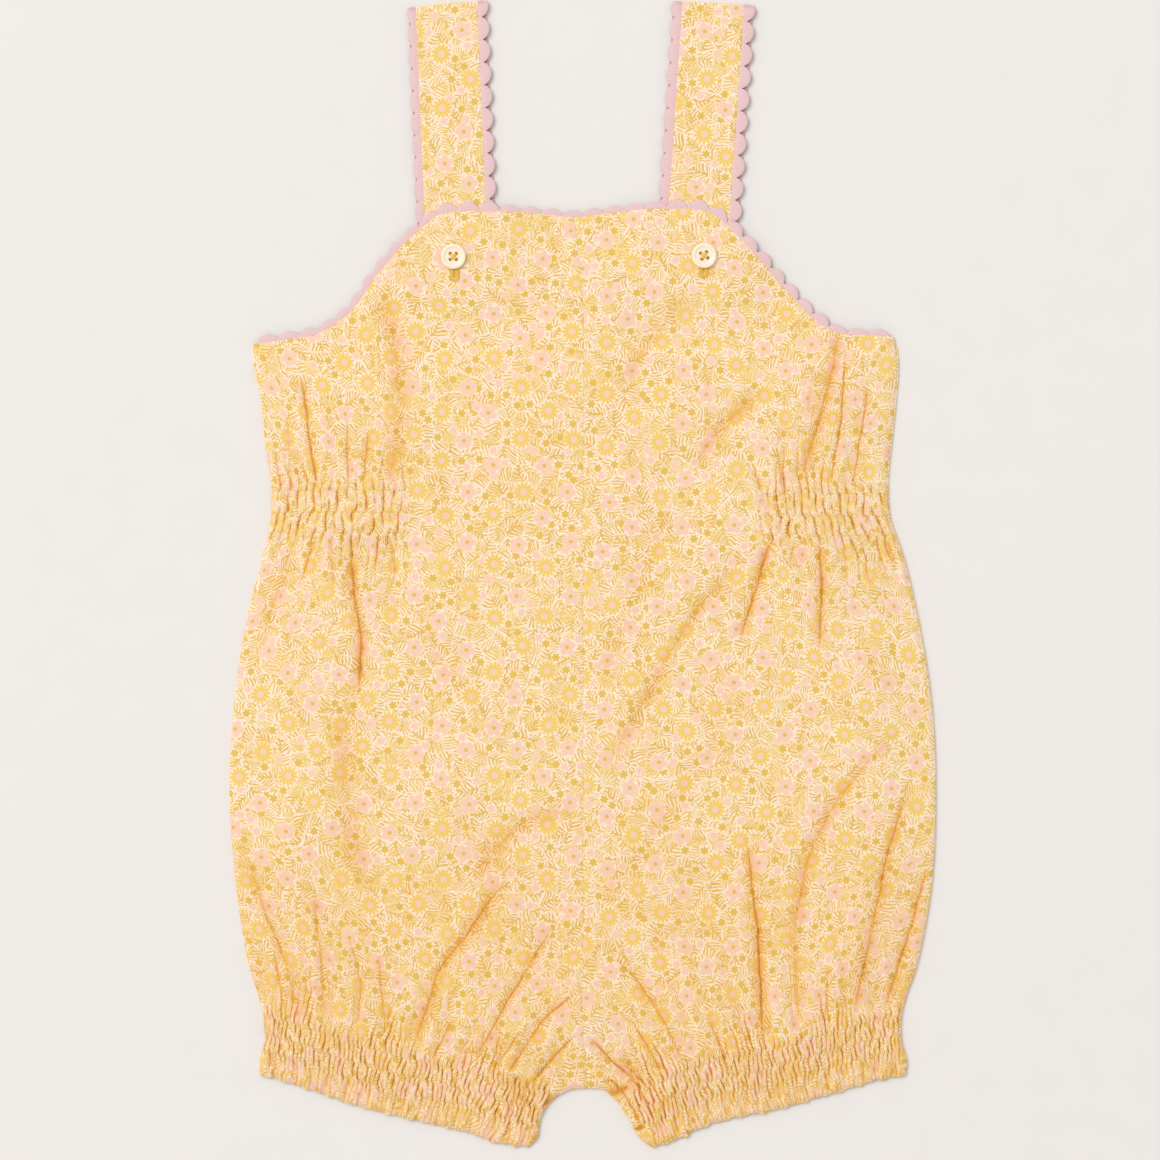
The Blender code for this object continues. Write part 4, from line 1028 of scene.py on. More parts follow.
def panelPoints(side, loop, sizes):
    # points inside a panel: along the gathers of leg and waist, along sharp creases, then a net
    hem, up, share = cuffLines(side)
    wanted = np.concatenate([np.arange(-3.0, cuff["gathers"] + 3.0) + part for part in sizes["parts"]])
    step = sizes["row"]
    fineShare = np.linspace(0.0, 1.0, 2001)
    first, last, wider = panelNet["cuffCoarse"]
    fixed = []
    for row in (*np.arange(step, panelNet["cuffFine"], step), *np.arange(first, last, wider * step)):
        columns = np.interp(wanted, cuffTau(fineShare, row, side), fineShare)
        columns = columns[(columns > 0.003) & (columns < 0.997)]
        risen = (row - hemSwing(side, columns) * math.exp(-row / 3.0))[:, None]
        fixed.append(sampled(columns, share, hem) + sampled(columns, share, up) * risen)
    high, _, low = waist["rows"][side]
    out = np.arange(waist["innerEnd"][side] - 6.0, 150.0, 0.1)
    below, above = panelNet["waistBeyond"]
    for y in np.arange(low - below, high + above, panelNet["waistRow"] * step):
        tau, _ = waistTau(out, np.full(len(out), y), side)
        reached = np.sort(wanted[(wanted > tau[0]) & (wanted < tau[-1])])
        columns = np.interp(reached, tau, out) * side
        fixed.append(np.column_stack((columns, np.full(len(columns), y))))
    fixed = np.concatenate(fixed)
    found = fixed[insideLoop(fixed, loop)]
    if sizes["crease"]:
        lines = []
        for knots, _, _, sharp in gatherFolds + looseFolds + frillFolds:
            path = foldPath(knots, sizes["crease"])
            aside = directions(path)[:, ::-1] * (1.0, -1.0)
            lines += [path + aside * off for off in panelNet["besideCreases"]] if sharp else []
        lines = np.concatenate(lines)
        lines = keepClear(lines[insideLoop(lines, loop)], found, panelNet["closest"])
        found = np.concatenate((found, lines))
    net = keepClear(netPoints(sizes["net"], loop), found, panelNet["clear"] * sizes["net"])
    rim = closedPath(loop, panelNet["rimStep"])
    return keepClear(np.concatenate((found, net)), rim, panelNet["closest"])


def coarsePoints(loop, spacing):
    # a plain net for the face of a panel that lies hidden
    return keepClear(netPoints(spacing, loop), closedPath(loop, panelNet["hiddenRimStep"]), spacing / 2)


def trianglesOver(rims, inner):
    # triangles over an outline; further rims are openings
    flat = np.concatenate(list(rims) + [inner])
    edges = []
    start = 0
    for rim in rims:
        edges += [(start + i, start + (i + 1) % len(rim)) for i in range(len(rim))]
        start += len(rim)
    found = delaunay_2d_cdt([Vector(point) for point in flat], edges, [], 1, 1e-7)
    triangles = np.array([[found[3][corner][0] for corner in face] for face in found[2]])
    for rim in rims[1:]:
        triangles = triangles[~insideLoop(flat[triangles].mean(1), rim)]
    return flat, triangles


def shellMesh(name, rims, upperInner, lowerInner, layOf):
    # a thin closed shell: an upper and a lower face over the same outline, joined round their rims
    upper, upperFaces = trianglesOver(rims, upperInner)
    lower, lowerFaces = trianglesOver(rims, lowerInner)
    top, _, upperPlaced, upperShade = layOf(upper)
    _, bottom, lowerPlaced, lowerShade = layOf(lower)
    size = len(upper)
    walls = []
    start = 0
    for number, rim in enumerate(rims):
        ring = np.arange(start, start + len(rim))
        following = np.roll(ring, -1)
        quad = np.column_stack((ring + size, following + size, following, ring))
        walls.append(quad if number == 0 else quad[:, ::-1])
        start += len(rim)
    faces = upperFaces.tolist() + (lowerFaces[:, ::-1] + size).tolist() + np.concatenate(walls).tolist()
    points = np.concatenate((np.column_stack((upper, top)), np.column_stack((lower, bottom))))
    mesh = meshOf(name, points, faces)
    storePlaces(mesh, np.concatenate((upperPlaced, lowerPlaced)))
    # painted shade in folds and gather troughs, read by the material
    hollow = mesh.attributes.new("hollow", "FLOAT", "POINT")
    hollow.data.foreach_set("value", np.concatenate((upperShade, lowerShade)).astype(np.float32))
    mesh.shade_smooth()
    # the rim's own edges stay crisp
    ends = np.empty(len(mesh.edges) * 2, int)
    mesh.edges.foreach_get("vertices", ends)
    ends = ends.reshape(-1, 2)
    gap = abs(ends[:, 0] - ends[:, 1])
    onRim = ((ends < start) | ((ends >= size) & (ends < size + start))).all(1)
    crisp = mesh.attributes.new("sharp_edge", "BOOLEAN", "EDGE")
    crisp.data.foreach_set("value", onRim & ((gap == 1) | (gap == len(rims[0]) - 1)))
    mesh.update()
    print(name, "triangles:", sum(len(face) - 2 for face in faces))
    return mesh


def storePlaces(mesh, placed):
    # each corner's place in the cloth; one unit is 100 mm
    uv = mesh.uv_layers.new(name="UVMap")
    corners = np.empty(len(mesh.loops), int)
    mesh.loops.foreach_get("vertex_index", corners)
    uv.data.foreach_set("uv", (placed * 0.01)[corners].ravel())


def addPiece(name, mesh, node=None, material=None):
    piece = addObject(name, mesh)
    if material is not None:
        mesh.materials.clear()
        mesh.materials.append(material)
    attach(piece, "root")
    if node:
        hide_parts(node)
    return piece


# buttons and their holes in the cloth: the button's x, y and turn in degrees, and the slot's ends
fastenings = {
    left: {"x": -58.2, "y": 142.0, "turn": 0, "slotX": -57.6, "slotHigh": 144.0, "slotLow": 132.6},
    right: {"x": 54.4, "y": 142.4, "turn": 12, "slotX": 54.2, "slotHigh": 144.4, "slotLow": 134.4},
}
slot = {"half": 0.06, "points": 12, "step": 0.4, "clear": 0.3, "hiddenClear": 1.0}
frontNet = {"net": 1.6, "row": 0.68, "parts": (0.0, 0.06, -0.06, 0.14, -0.14, 0.28, -0.28, 0.5),
            "crease": 1.1, "hidden": 4.0, "seamGap": 0.02,
            "rim": {"top": 1.0, "armhole": 1.0, "side": 1.1, "hem": 0.5, "inseam": 0.8, "seam": 1.1}}


def frontLoop(side):
    # the outline of one half of the front
    rim = {name: evenPath(runs[side][name], step) for name, step in frontNet["rim"].items()}
    _, up, share = cuffLines(side, frontNet["rim"]["hem"])
    hem = rim["hem"] - up * hemSwing(side, share)[:, None]
    seam = rim["seam"][::-1] + (side * frontNet["seamGap"], 0.0)
    loop = np.concatenate((rim["top"][1:-1], rim["armhole"][:-1], rim["side"][:-1], hem[:-1],
                           rim["inseam"][:-1], seam))
    return loop if side == left else loop[::-1]


def slotLoop(side):
    # the slit of a buttonhole
    hole = fastenings[side]
    ys = np.linspace(hole["slotLow"], hole["slotHigh"], slot["points"])
    share = (ys - ys.mean()) / (ys.max() - ys.min()) * 2
    half = slot["half"] * np.sqrt(np.clip(1.0 - share**4, 0.02, 1.0))
    down = np.column_stack((hole["slotX"] - half, ys))[::-1]
    return np.concatenate((down, np.column_stack((hole["slotX"] + half, ys))))


def frontHalf(side, name, node):
    loop = frontLoop(side)
    slit = slotLoop(side)
    rim = closedPath(slit, slot["step"])
    upper = panelPoints(side, loop, frontNet)
    upper = keepClear(upper[~insideLoop(upper, slit)], rim, slot["clear"])
    lower = coarsePoints(loop, frontNet["hidden"])
    lower = keepClear(lower[~insideLoop(lower, slit)], rim, slot["hiddenClear"])
    mesh = shellMesh(name, [loop, slit], upper, lower, lambda points: frontLie(points, side))
    return addPiece(name, mesh, node, poplinMaterial)


frontLeft = frontHalf(left, "clothFrontLeft", "front_left")
frontRight = frontHalf(right, "clothFrontRight", "front_right")
print("front made")


# back: flat on the surface, its gathers and creases pressed into the underside
backNet = {"net": 3.0, "row": 1.3, "parts": (0.0, 0.12, -0.12, 0.32, -0.32), "crease": 2.2, "hidden": 5.0,
           "rim": {"side": 1.6, "hem": 0.85, "inseam": 1.5}}
# the back's top, how deep its underside takes the front's creases, how much of their painted shade it takes,
# and the print's offset
backForm = {"top": 1.1, "pressed": 0.4, "creased": 0.7, "place": (9.3, 5.1)}


def backLie(points):
    # the back's top and underside, its place in the print and its painted shade; the front's creases are
    # pressed through, more faintly
    hollow = backForm["creased"] * allFolds(points)[1]
    placed = points + backForm["place"]
    for side in sides:
        mine = np.flatnonzero(points[:, 0] * side > 0.0)
        _, waistShade, waistShift = waistGathers(points[mine], side)
        _, cuffShade, cuffShift = cuffGathers(points[mine], side)
        hollow[mine] = np.maximum.reduce((hollow[mine], waistShade, cuffShade))
        placed[mine] += waistShift + cuffShift
    return np.full(len(points), backForm["top"]), backForm["pressed"] * hollow, placed, hollow


def backPanel():
    loop = []
    for side in sides:
        seam = sideSeam(side, "back")
        seam = evenPath(seam[seam[:, 1] <= outline["backTop"] + 0.01], backNet["rim"]["side"])
        hem = evenPath(runs[side]["hem"], backNet["rim"]["hem"]) + (0.0, outline["backHemIn"])
        inseam = evenPath(runs[side]["inseam"], backNet["rim"]["inseam"])
        half = np.concatenate((seam[:-1], hem[:-1], inseam[1:]))
        loop.append(half if side == left else half[::-1][1:])
    loop = np.concatenate(loop)
    lower = [panelPoints(side, loop, backNet) for side in sides]
    lower = np.concatenate([part[part[:, 0] * side > 0.5] for side, part in zip(sides, lower)])
    mesh = shellMesh("clothBack", [loop], coarsePoints(loop, backNet["hidden"]), lower, backLie)
    return addPiece("clothBack", mesh, "back_panel", poplinMaterial)


back = backPanel()
print("back made")

# straps: a flat tube of cloth, folded at the shoulder
strapForm = {"half": 14.5, "wall": 1.0, "end": 129.0, "gap": 0.3, "step": 1.5, "foldSteps": 11,
             "columns": 19, "edge": 0.35, "edgeLift": 0.36}
foldRadius = (strapForm["wall"] + strapForm["gap"]) / 2
foldHalf = math.pi * foldRadius / 2


def foldTurn(along):
    return np.clip(along / foldRadius, -math.pi / 2, math.pi / 2)


def strapPlace(side, along, off):
    # middle surface of a strap at a distance from its fold; the back run is negative
    strap = straps[side]
    turn = foldTurn(along)
    centreY = strap["foldY"] - foldRadius - strapForm["wall"] / 2
    y = centreY + foldRadius * np.cos(turn) - np.maximum(np.abs(along) - foldHalf, 0.0)
    z = strapForm["wall"] / 2 + foldRadius + foldRadius * np.sin(turn)
    tilt = strap["tilt"] * softStep((y - outline["backTop"]) / (strap["foldY"] - outline["backTop"]))
    return np.stack((strapMiddle(strap, y) + off, y + off * tilt, z), -1)


def strapStations(side, step):
    # distances from the fold at which a strap is drawn
    top = straps[side]["foldY"] - foldRadius - strapForm["wall"] / 2
    backReach = top - (outline["backTop"] + strapForm["gap"]) + foldHalf
    frontReach = top - strapForm["end"] + foldHalf
    back = np.linspace(-backReach, -foldHalf, round(backReach / step))
    front = np.linspace(foldHalf, frontReach, round(frontReach / step))
    return np.concatenate((back[:-1], np.linspace(-foldHalf, foldHalf, strapForm["foldSteps"]), front[1:]))


def strapUp(along):
    # outward from the fold: down on the back run, up on the front run
    turn = foldTurn(along)
    return np.stack((np.zeros_like(turn), np.cos(turn), np.sin(turn)), -1)


def ringFaces(rings, size):
    # faces between closed rings of points, ring after ring
    return [(i * size + j, i * size + (j + 1) % size, (i + 1) * size + (j + 1) % size, (i + 1) * size + j)
            for i in range(rings - 1) for j in range(size)]


def fixNormals(mesh):
    work = bmesh.new()
    work.from_mesh(mesh)
    bmesh.ops.remove_doubles(work, verts=work.verts, dist=1e-7)
    bmesh.ops.recalc_face_normals(work, faces=work.faces)
    work.to_mesh(mesh)
    work.free()
    mesh.update()


def strapCloth(side, name, node):
    form = strapForm
    stations = strapStations(side, form["step"])
    inner = form["half"] - form["edge"]
    across = np.concatenate(([-form["half"]], np.linspace(-inner, inner, form["columns"]), [form["half"]]))
    lift = np.full(len(across), form["wall"] / 2)
    lift[[0, -1]] = 0.0
    lift[[1, -2]] = form["wall"] * form["edgeLift"]
    ringOff = np.concatenate((across, across[-2:0:-1]))
    ringLift = np.concatenate((lift, -lift[-2:0:-1]))
    size = len(ringOff)
    rows = []
    places = []
    for along, up in zip(stations, strapUp(stations)):
        puff = ringLift * (0.95 + 0.05 * ripple(along / 9.0 + ringOff / 7.0, 3.0 + side))
        rows.append(strapPlace(side, np.full(size, along), ringOff) + up * puff[:, None])
        places.append(np.stack((ringOff + 40.0 * side, np.full(size, -along)), 1))
    faces = ringFaces(len(stations), size)
    faces.append(tuple(range(size))[::-1])
    faces.append(tuple((len(stations) - 1) * size + j for j in range(size)))
    mesh = meshOf(name, np.concatenate(rows), faces)
    storePlaces(mesh, np.concatenate(places))
    fixNormals(mesh)
    mesh.shade_smooth()
    mesh.set_sharp_from_angle(angle=math.radians(60))
    return addPiece(name, mesh, node, poplinMaterial)


strapLeft = strapCloth(left, "clothStrapLeft", "strap_left")
strapRight = strapCloth(right, "clothStrapRight", "strap_right")
print("straps made")


# Geometry Nodes: trees for the scalloped braid, rows of stitches and runs of thread
def startTree(name, **inputs):
    # geometry in and out, named numbers with their usual values, lengths in metres, and a material
    tree = bpy.data.node_groups.new(name, "GeometryNodeTree")
    tree.interface.new_socket(name="Geometry", in_out="INPUT", socket_type="NodeSocketGeometry")
    for label, value in inputs.items():
        kind = "NodeSocketInt" if isinstance(value, int) else "NodeSocketFloat"
        tree.interface.new_socket(name=label, in_out="INPUT", socket_type=kind).default_value = value
    tree.interface.new_socket(name="Material", in_out="INPUT", socket_type="NodeSocketMaterial")
    tree.interface.new_socket(name="Geometry", in_out="OUTPUT", socket_type="NodeSocketGeometry")
    return tree, tree.nodes.new("NodeGroupInput")


def endTree(tree, given, result):
    smooth = addRow(tree, result, ("GeometryNodeRealizeInstances",), ("GeometryNodeSetShadeSmooth",))
    finished = addNode(tree, "GeometryNodeSetMaterial", {0: smooth, "Material": (given, "Material")})
    addNode(tree, "NodeGroupOutput", [finished])
    return tree


def scallopTree():
    # a ribbon along a path whose outer edge runs in lobes
    tree, given = startTree("scallopedBraid", Pitch=0.0103, Reach=0.0049, Valley=0.0017, Tuck=0.0008,
                            Puff=0.0003, Roundness=0.5, Rings=9)
    pitch, reach, valley, tuck, puff, roundness, rings = (
        (given, key) for key in ("Pitch", "Reach", "Valley", "Tuck", "Puff", "Roundness", "Rings"))
    curve = addNode(tree, "GeometryNodeMeshToCurve", [given])
    line = addNode(tree, "GeometryNodeCurvePrimitiveLine",
                   {"Start": (0.0, 0.0, 0.0), "End": (millimetre, 0.0, 0.0)})
    fineLine = addNode(tree, "GeometryNodeResampleCurve", {0: line, "Count": rings})
    factor = addNode(tree, "GeometryNodeSplineParameter")
    marked = addNode(tree, "GeometryNodeStoreNamedAttribute",
                     {0: fineLine, "Name": "across", "Value": factor}, data_type="FLOAT", domain="POINT")
    ribbon = addNode(tree, "GeometryNodeCurveToMesh", [curve, marked])
    # "across" is 0 at the ribbon's sewn edge and 1 at its outer one; the path's points bring the others
    across, run, fullness, core, outward, up = (
        addNode(tree, "GeometryNodeInputNamedAttribute", [key], data_type=kind) for key, kind in (
            ("across", "FLOAT"), ("run", "FLOAT"), ("fullness", "FLOAT"),
            ("core", "FLOAT_VECTOR"), ("outward", "FLOAT_VECTOR"), ("up", "FLOAT_VECTOR")))
    rounded = addRow(tree, run, ("Math DIVIDE", pitch), ("Math MULTIPLY", math.pi),
                     ("Math SINE",), ("Math ABSOLUTE",),
                     ("Math POWER", roundness))
    width = addNode(tree, "Math SUBTRACT", [reach, valley])
    whole = addRow(tree, rounded, ("Math MULTIPLY_ADD", width, valley),
                   ("Math MULTIPLY", fullness), ("Math ADD", tuck))
    inward = addNode(tree, "Math MULTIPLY", [tuck, -1.0])
    reached = addNode(tree, "Math MULTIPLY_ADD", [whole, across, inward])
    rise = addRow(tree, across, ("Math MULTIPLY", math.pi), ("Math SINE",),
                  ("Math MULTIPLY", rounded), ("Math MULTIPLY", puff))
    lifted = addNode(tree, "VectorMath SCALE", {0: up, "Scale": rise})
    aside = addNode(tree, "VectorMath SCALE", {0: outward, "Scale": reached})
    place = addRow(tree, aside, ("VectorMath ADD", lifted), ("VectorMath ADD", core))
    formed = addNode(tree, "GeometryNodeSetPosition", {0: ribbon, "Position": place})
    clothPlaces = addNode(tree, "VectorMath SCALE", {
        0: addNode(tree, "CombineXYZ", [run, reached]), "Scale": 10.0})
    mapped = addNode(tree, "GeometryNodeStoreNamedAttribute",
                     {0: formed, "Name": "UVMap", "Value": clothPlaces}, data_type="FLOAT2", domain="CORNER")
    return endTree(tree, given, mapped)


def stitchTree():
    # stitches laid along a path; Turn swings them across it for a buttonhole
    tree, given = startTree("threadStitches", Pitch=0.003, Length=0.002, Width=0.0004, Turn=0.0,
                            Uneven=0.1, Seed=3)
    pitch, length, width, turn, uneven, seed = (
        (given, key) for key in ("Pitch", "Length", "Width", "Turn", "Uneven", "Seed"))
    curve = addNode(tree, "GeometryNodeMeshToCurve", [given])
    spaced = addNode(tree, "GeometryNodeResampleCurve", {0: curve, "Length": pitch}, mode="LENGTH")
    size = addNode(tree, "CombineXYZ", [length, width, width])
    bead = addNode(tree, "GeometryNodeMeshUVSphere", {"Segments": 6, "Rings": 5, "Radius": 0.5})
    stitch = addNode(tree, "GeometryNodeTransform", {0: bead, "Rotation": (0.0, math.pi / 2, 0.0)})
    tangent = addNode(tree, "GeometryNodeInputTangent")
    aligned = addNode(tree, "FunctionNodeAlignRotationToVector", {"Vector": tangent}, axis="X")
    swing = addNode(tree, "CombineXYZ", {2: turn})
    turned = addNode(tree, "FunctionNodeRotateRotation", [aligned, swing], rotation_space="LOCAL")
    least = addNode(tree, "Math SUBTRACT", [1.0, uneven])
    most = addNode(tree, "Math ADD", [1.0, uneven])
    factor = addNode(tree, "FunctionNodeRandomValue", {"Min": least, "Max": most, "Seed": seed},
                     data_type="FLOAT")
    scaled = addNode(tree, "VectorMath SCALE", {0: size, "Scale": (factor, "Value")})
    placed = addNode(tree, "GeometryNodeInstanceOnPoints",
                     {0: spaced, "Instance": stitch, "Rotation": turned, "Scale": scaled})
    return endTree(tree, given, placed)


def threadTree():
    # a round thread along a path
    tree, given = startTree("threadRun", Width=0.0005)
    radius = addNode(tree, "Math MULTIPLY", [(given, "Width"), 0.5])
    curve = addNode(tree, "GeometryNodeMeshToCurve", [given])
    section = addNode(tree, "GeometryNodeCurvePrimitiveCircle", {"Resolution": 8, "Radius": radius})
    tube = addNode(tree, "GeometryNodeCurveToMesh", {0: curve, 1: section, "Fill Caps": True})
    return endTree(tree, given, tube)


scallops = scallopTree()
stitches = stitchTree()
threads = threadTree()


def pathMesh(name, paths, **attributes):
    # loose polylines as a mesh of edges, with vectors or numbers stored on their points
    edges = []
    start = 0
    for path in paths:
        edges += [(start + i, start + i + 1) for i in range(len(path) - 1)]
        start += len(path)
    mesh = meshOf(name, np.concatenate(paths), [], edges)
    for key, values in attributes.items():
        values = np.asarray(values, np.float32)
        kind, field = ("FLOAT_VECTOR", "vector") if values.ndim == 2 else ("FLOAT", "value")
        mesh.attributes.new(key, kind, "POINT").data.foreach_set(field, values.ravel())
    return mesh


def grow(name, path, tree, lengths, wall=0.0, **settings):
    # run a tree over a path, with lengths in mm, and keep the result as a plain mesh
    source = addObject(name, path)
    modifier = source.modifiers.new("grow", "NODES")
    modifier.node_group = tree
    settings.update((key, value * millimetre) for key, value in lengths.items())
    for item in tree.interface.items_tree:
        if item.item_type == "SOCKET" and item.in_out == "INPUT" and item.name in settings:
            modifier[item.identifier] = settings[item.name]
    if wall:
        thick = source.modifiers.new("wall", "SOLIDIFY")
        thick.thickness = wall * millimetre
        thick.offset = 0.0
    evaluated = source.evaluated_get(bpy.context.evaluated_depsgraph_get())
    mesh = bpy.data.meshes.new_from_object(evaluated)
    source.modifiers.clear()
    bpy.data.objects.remove(source)
    mesh.name = name
    for key in ("core", "outward", "up", "run", "across", "fullness"):
        if key in mesh.attributes:
            mesh.attributes.remove(mesh.attributes[key])
    fixNormals(mesh)
    return mesh


# Scalloped braid on the bib and the straps. For the bib, and by strap and edge: how far the lobes
# and the notches between them reach, and how round the lobes are.
trim = {
    "bibPitch": 9.4, "bib": (4.3, 0.7, 0.65), "bibAbove": 0.35,
    # the bib's lobes are pressed flatter between the straps, at the end of the right armhole and
    # along the left one: by what share, from how far out, over what length
    "middle": (0.3, 34.0, 8.0), "armholes": {right: (0.25, 108.0, 8.0), left: (0.2, 62.0, 10.0)},
    "pitch": 10.1,
    left: {left: (3.2, 0.9, 0.28), right: (4.5, 0.3, 0.5)},
    right: {left: (4.1, 1.1, 0.26), right: (4.8, 0.3, 0.5)},
    "behind": {left: 0.85, right: 0.74},    # fullness on the back run, at a strap's left and right edge
    "tuck": 0.9, "puff": 0.3, "wall": 0.6, "step": 0.42, "ends": 2.0, "rings": 9,
}


def braidMesh(name, core, pitch, form, **attributes):
    reach, valley, roundness = form
    lengths = {"Pitch": pitch, "Reach": reach, "Valley": valley, "Tuck": trim["tuck"], "Puff": trim["puff"]}
    path = pathMesh(name, [core], core=toWorld(core), **attributes)
    return grow(name, path, scallops, lengths, trim["wall"],
                Roundness=roundness, Rings=trim["rings"], Material=braidMaterial)


def bibTrim():
    edge = np.concatenate((runs[left]["armhole"][::-1], runs[left]["top"][::-1][1:],
                           runs[right]["top"][1:], runs[right]["armhole"][1:]))
    edge = evenPath(edge, trim["step"])
    places = lengthAlong(edge)
    keep = (places > trim["ends"]) & (places < places[-1] - trim["ends"])
    edge, places = edge[keep], places[keep] - trim["ends"]
    along = directions(edge)
    outward = np.column_stack((-along[:, 1], along[:, 0], np.zeros(len(edge))))
    height = mixed(*restingHeights(edge[:, 1]), bandShare(edge)) + trim["bibAbove"]
    pitch = places[-1] / round(places[-1] / trim["bibPitch"])
    share, start, over = trim["middle"]
    fullness = 1.0 - share * (1.0 - stepUp(np.abs(edge[:, 0]), start, over))
    for side, (share, start, over) in trim["armholes"].items():
        fullness = fullness - share * stepUp(edge[:, 0] * side, start, over)
    mesh = braidMesh("trimBib", np.column_stack((edge, height)), pitch, trim["bib"],
                     outward=outward, up=np.tile((0.0, 0.0, 1.0), (len(edge), 1)), run=places * millimetre,
                     fullness=fullness, hollow=np.zeros(len(edge)))
    return addPiece("trimBib", mesh, "bib_edging")


def strapTrim(side, hand, name, node):
    stations = strapStations(side, trim["step"])
    off = hand * (strapForm["half"] - 0.1)
    place = strapPlace(side, stations, off)
    # on the back run the lobes lie part of a pitch on, so that they peep out between those in front
    run = (stations + 0.25 * trim["pitch"]) * millimetre
    inFront = softStep(stations / 6.0 + 0.5)
    # the back run takes painted mauve shade
    mesh = braidMesh(name, place, trim["pitch"], trim[side][hand],
                     outward=strapPlace(side, stations, off + hand) - place,
                     up=strapUp(stations) * mixed(0.1, 1.0, inFront)[:, None], run=run + 1.0,
                     fullness=mixed(trim["behind"][hand], 1.0, inFront), hollow=1.0 - inFront)
    return addPiece(name, mesh, node)


bibBraid = bibTrim()
strapBraids = {
    left: [strapTrim(left, -1, "trimStrapLeftOuter", "strap_left_edging_outer"),
           strapTrim(left, 1, "trimStrapLeftInner", "strap_left_edging_inner")],
    right: [strapTrim(right, 1, "trimStrapRightOuter", "strap_right_edging_outer"),
            strapTrim(right, -1, "trimStrapRightInner", "strap_right_edging_inner")],
}
print("braid made")

# buttons: turned discs with a dished middle, a rounded rim and four thread holes
buttonForm = {
    # radius, height
    "profile": ((0.0, 1.36), (1.5, 1.36), (3.1, 1.37), (3.6, 1.42), (4.0, 1.54), (4.25, 1.66), (4.5, 1.74),
                (4.8, 1.77), (5.15, 1.72), (5.45, 1.58), (5.62, 1.4), (5.65, 1.15), (5.5, 0.75), (5.2, 0.35),
                (4.7, 0.08), (4.2, 0.0), (0.0, 0.0)),
    "drill": ((0.0, 3.0), (0.98, 3.0), (0.98, 1.4), (0.75, 1.2), (0.75, 0.16), (0.98, -0.05), (0.98, -1.0),
              (0.0, -1.0)),
    "sides": 72, "holeSides": 20,
    "offset": 1.3,              # of a hole from the middle, across and up
    "seat": 4.1,                # height of its underside
}


def lathe(name, profile, sides, place):
    # a turned solid from (radius, height) pairs, of which the first and last lie on the axis
    x, y, z = place
    points = []
    for radius, height in profile[1:-1]:
        for k in range(sides):
            angle = 2 * math.pi * k / sides
            points.append((x + radius * math.cos(angle), y + radius * math.sin(angle), z + height))
    rings = len(profile) - 2
    faces = ringFaces(rings, sides)
    for k in range(sides):
        n = (k + 1) % sides
        faces.append((rings * sides, n, k))
        faces.append((rings * sides + 1, (rings - 1) * sides + k, (rings - 1) * sides + n))
    mesh = meshOf(name, points + [(x, y, z + profile[0][1]), (x, y, z + profile[-1][1])], faces)
    fixNormals(mesh)
    return mesh


def turnedButton(side, name, node):
    spot = fastenings[side]
    form = buttonForm
    x, y, turn = spot["x"], spot["y"], math.radians(spot["turn"])
    piece = addObject(name, lathe(name, form["profile"], form["sides"], (x, y, form["seat"])))
    drills = []
    for across, up in ((-1, -1), (1, -1), (-1, 1), (1, 1)):
        dx = form["offset"] * (across * math.cos(turn) - up * math.sin(turn))
        dy = form["offset"] * (across * math.sin(turn) + up * math.cos(turn))
        drill = lathe("drill", form["drill"], form["holeSides"], (x + dx, y + dy, form["seat"]))
        drills.append(addObject("drill", drill))
        cut = piece.modifiers.new("hole", "BOOLEAN")
        cut.operation = "DIFFERENCE"
        cut.solver = "EXACT"
        cut.object = drills[-1]
    mesh = bpy.data.meshes.new_from_object(piece.evaluated_get(bpy.context.evaluated_depsgraph_get()))
    for used in [piece, *drills]:
        bpy.data.objects.remove(used)
    mesh.name = name
    mesh.shade_smooth()
    mesh.set_sharp_from_angle(angle=math.radians(35))
    return addPiece(name, mesh, node, resinMaterial)


buttonLeft = turnedButton(left, "buttonTurnedLeft", "button_left")
buttonRight = turnedButton(right, "buttonTurnedRight", "button_right")
print("buttons made")

# sewing: thread through the buttons, buttonholes, shirring rows
sewing = {
    "thread": 0.55,             # width
    "strand": 0.36,             # from one strand of a bar to the next
    "closed": 0.35,             # how much nearer they lie at their ends
    "shorter": 0.22,            # than the distance to the holes
    "above": 1.62,              # the button's seat
    "arch": 0.12, "crossed": 0.28,          # the middle strand, and the upper bar, lie higher
    "dive": (0.86, 0.14, 1.1),  # from what share of its length a bar goes down, over what share, how deep
    "bar": 2.4, "barPitch": 0.43, "barWidth": 0.5, "slitGap": 0.02, "barAbove": 0.12,
    "shirrPitch": 2.6, "shirrLength": 1.7, "shirrWidth": 0.42, "shirrAbove": 0.06,
    "shirrEdge": 0.8,           # cloth's edge without stitches
}


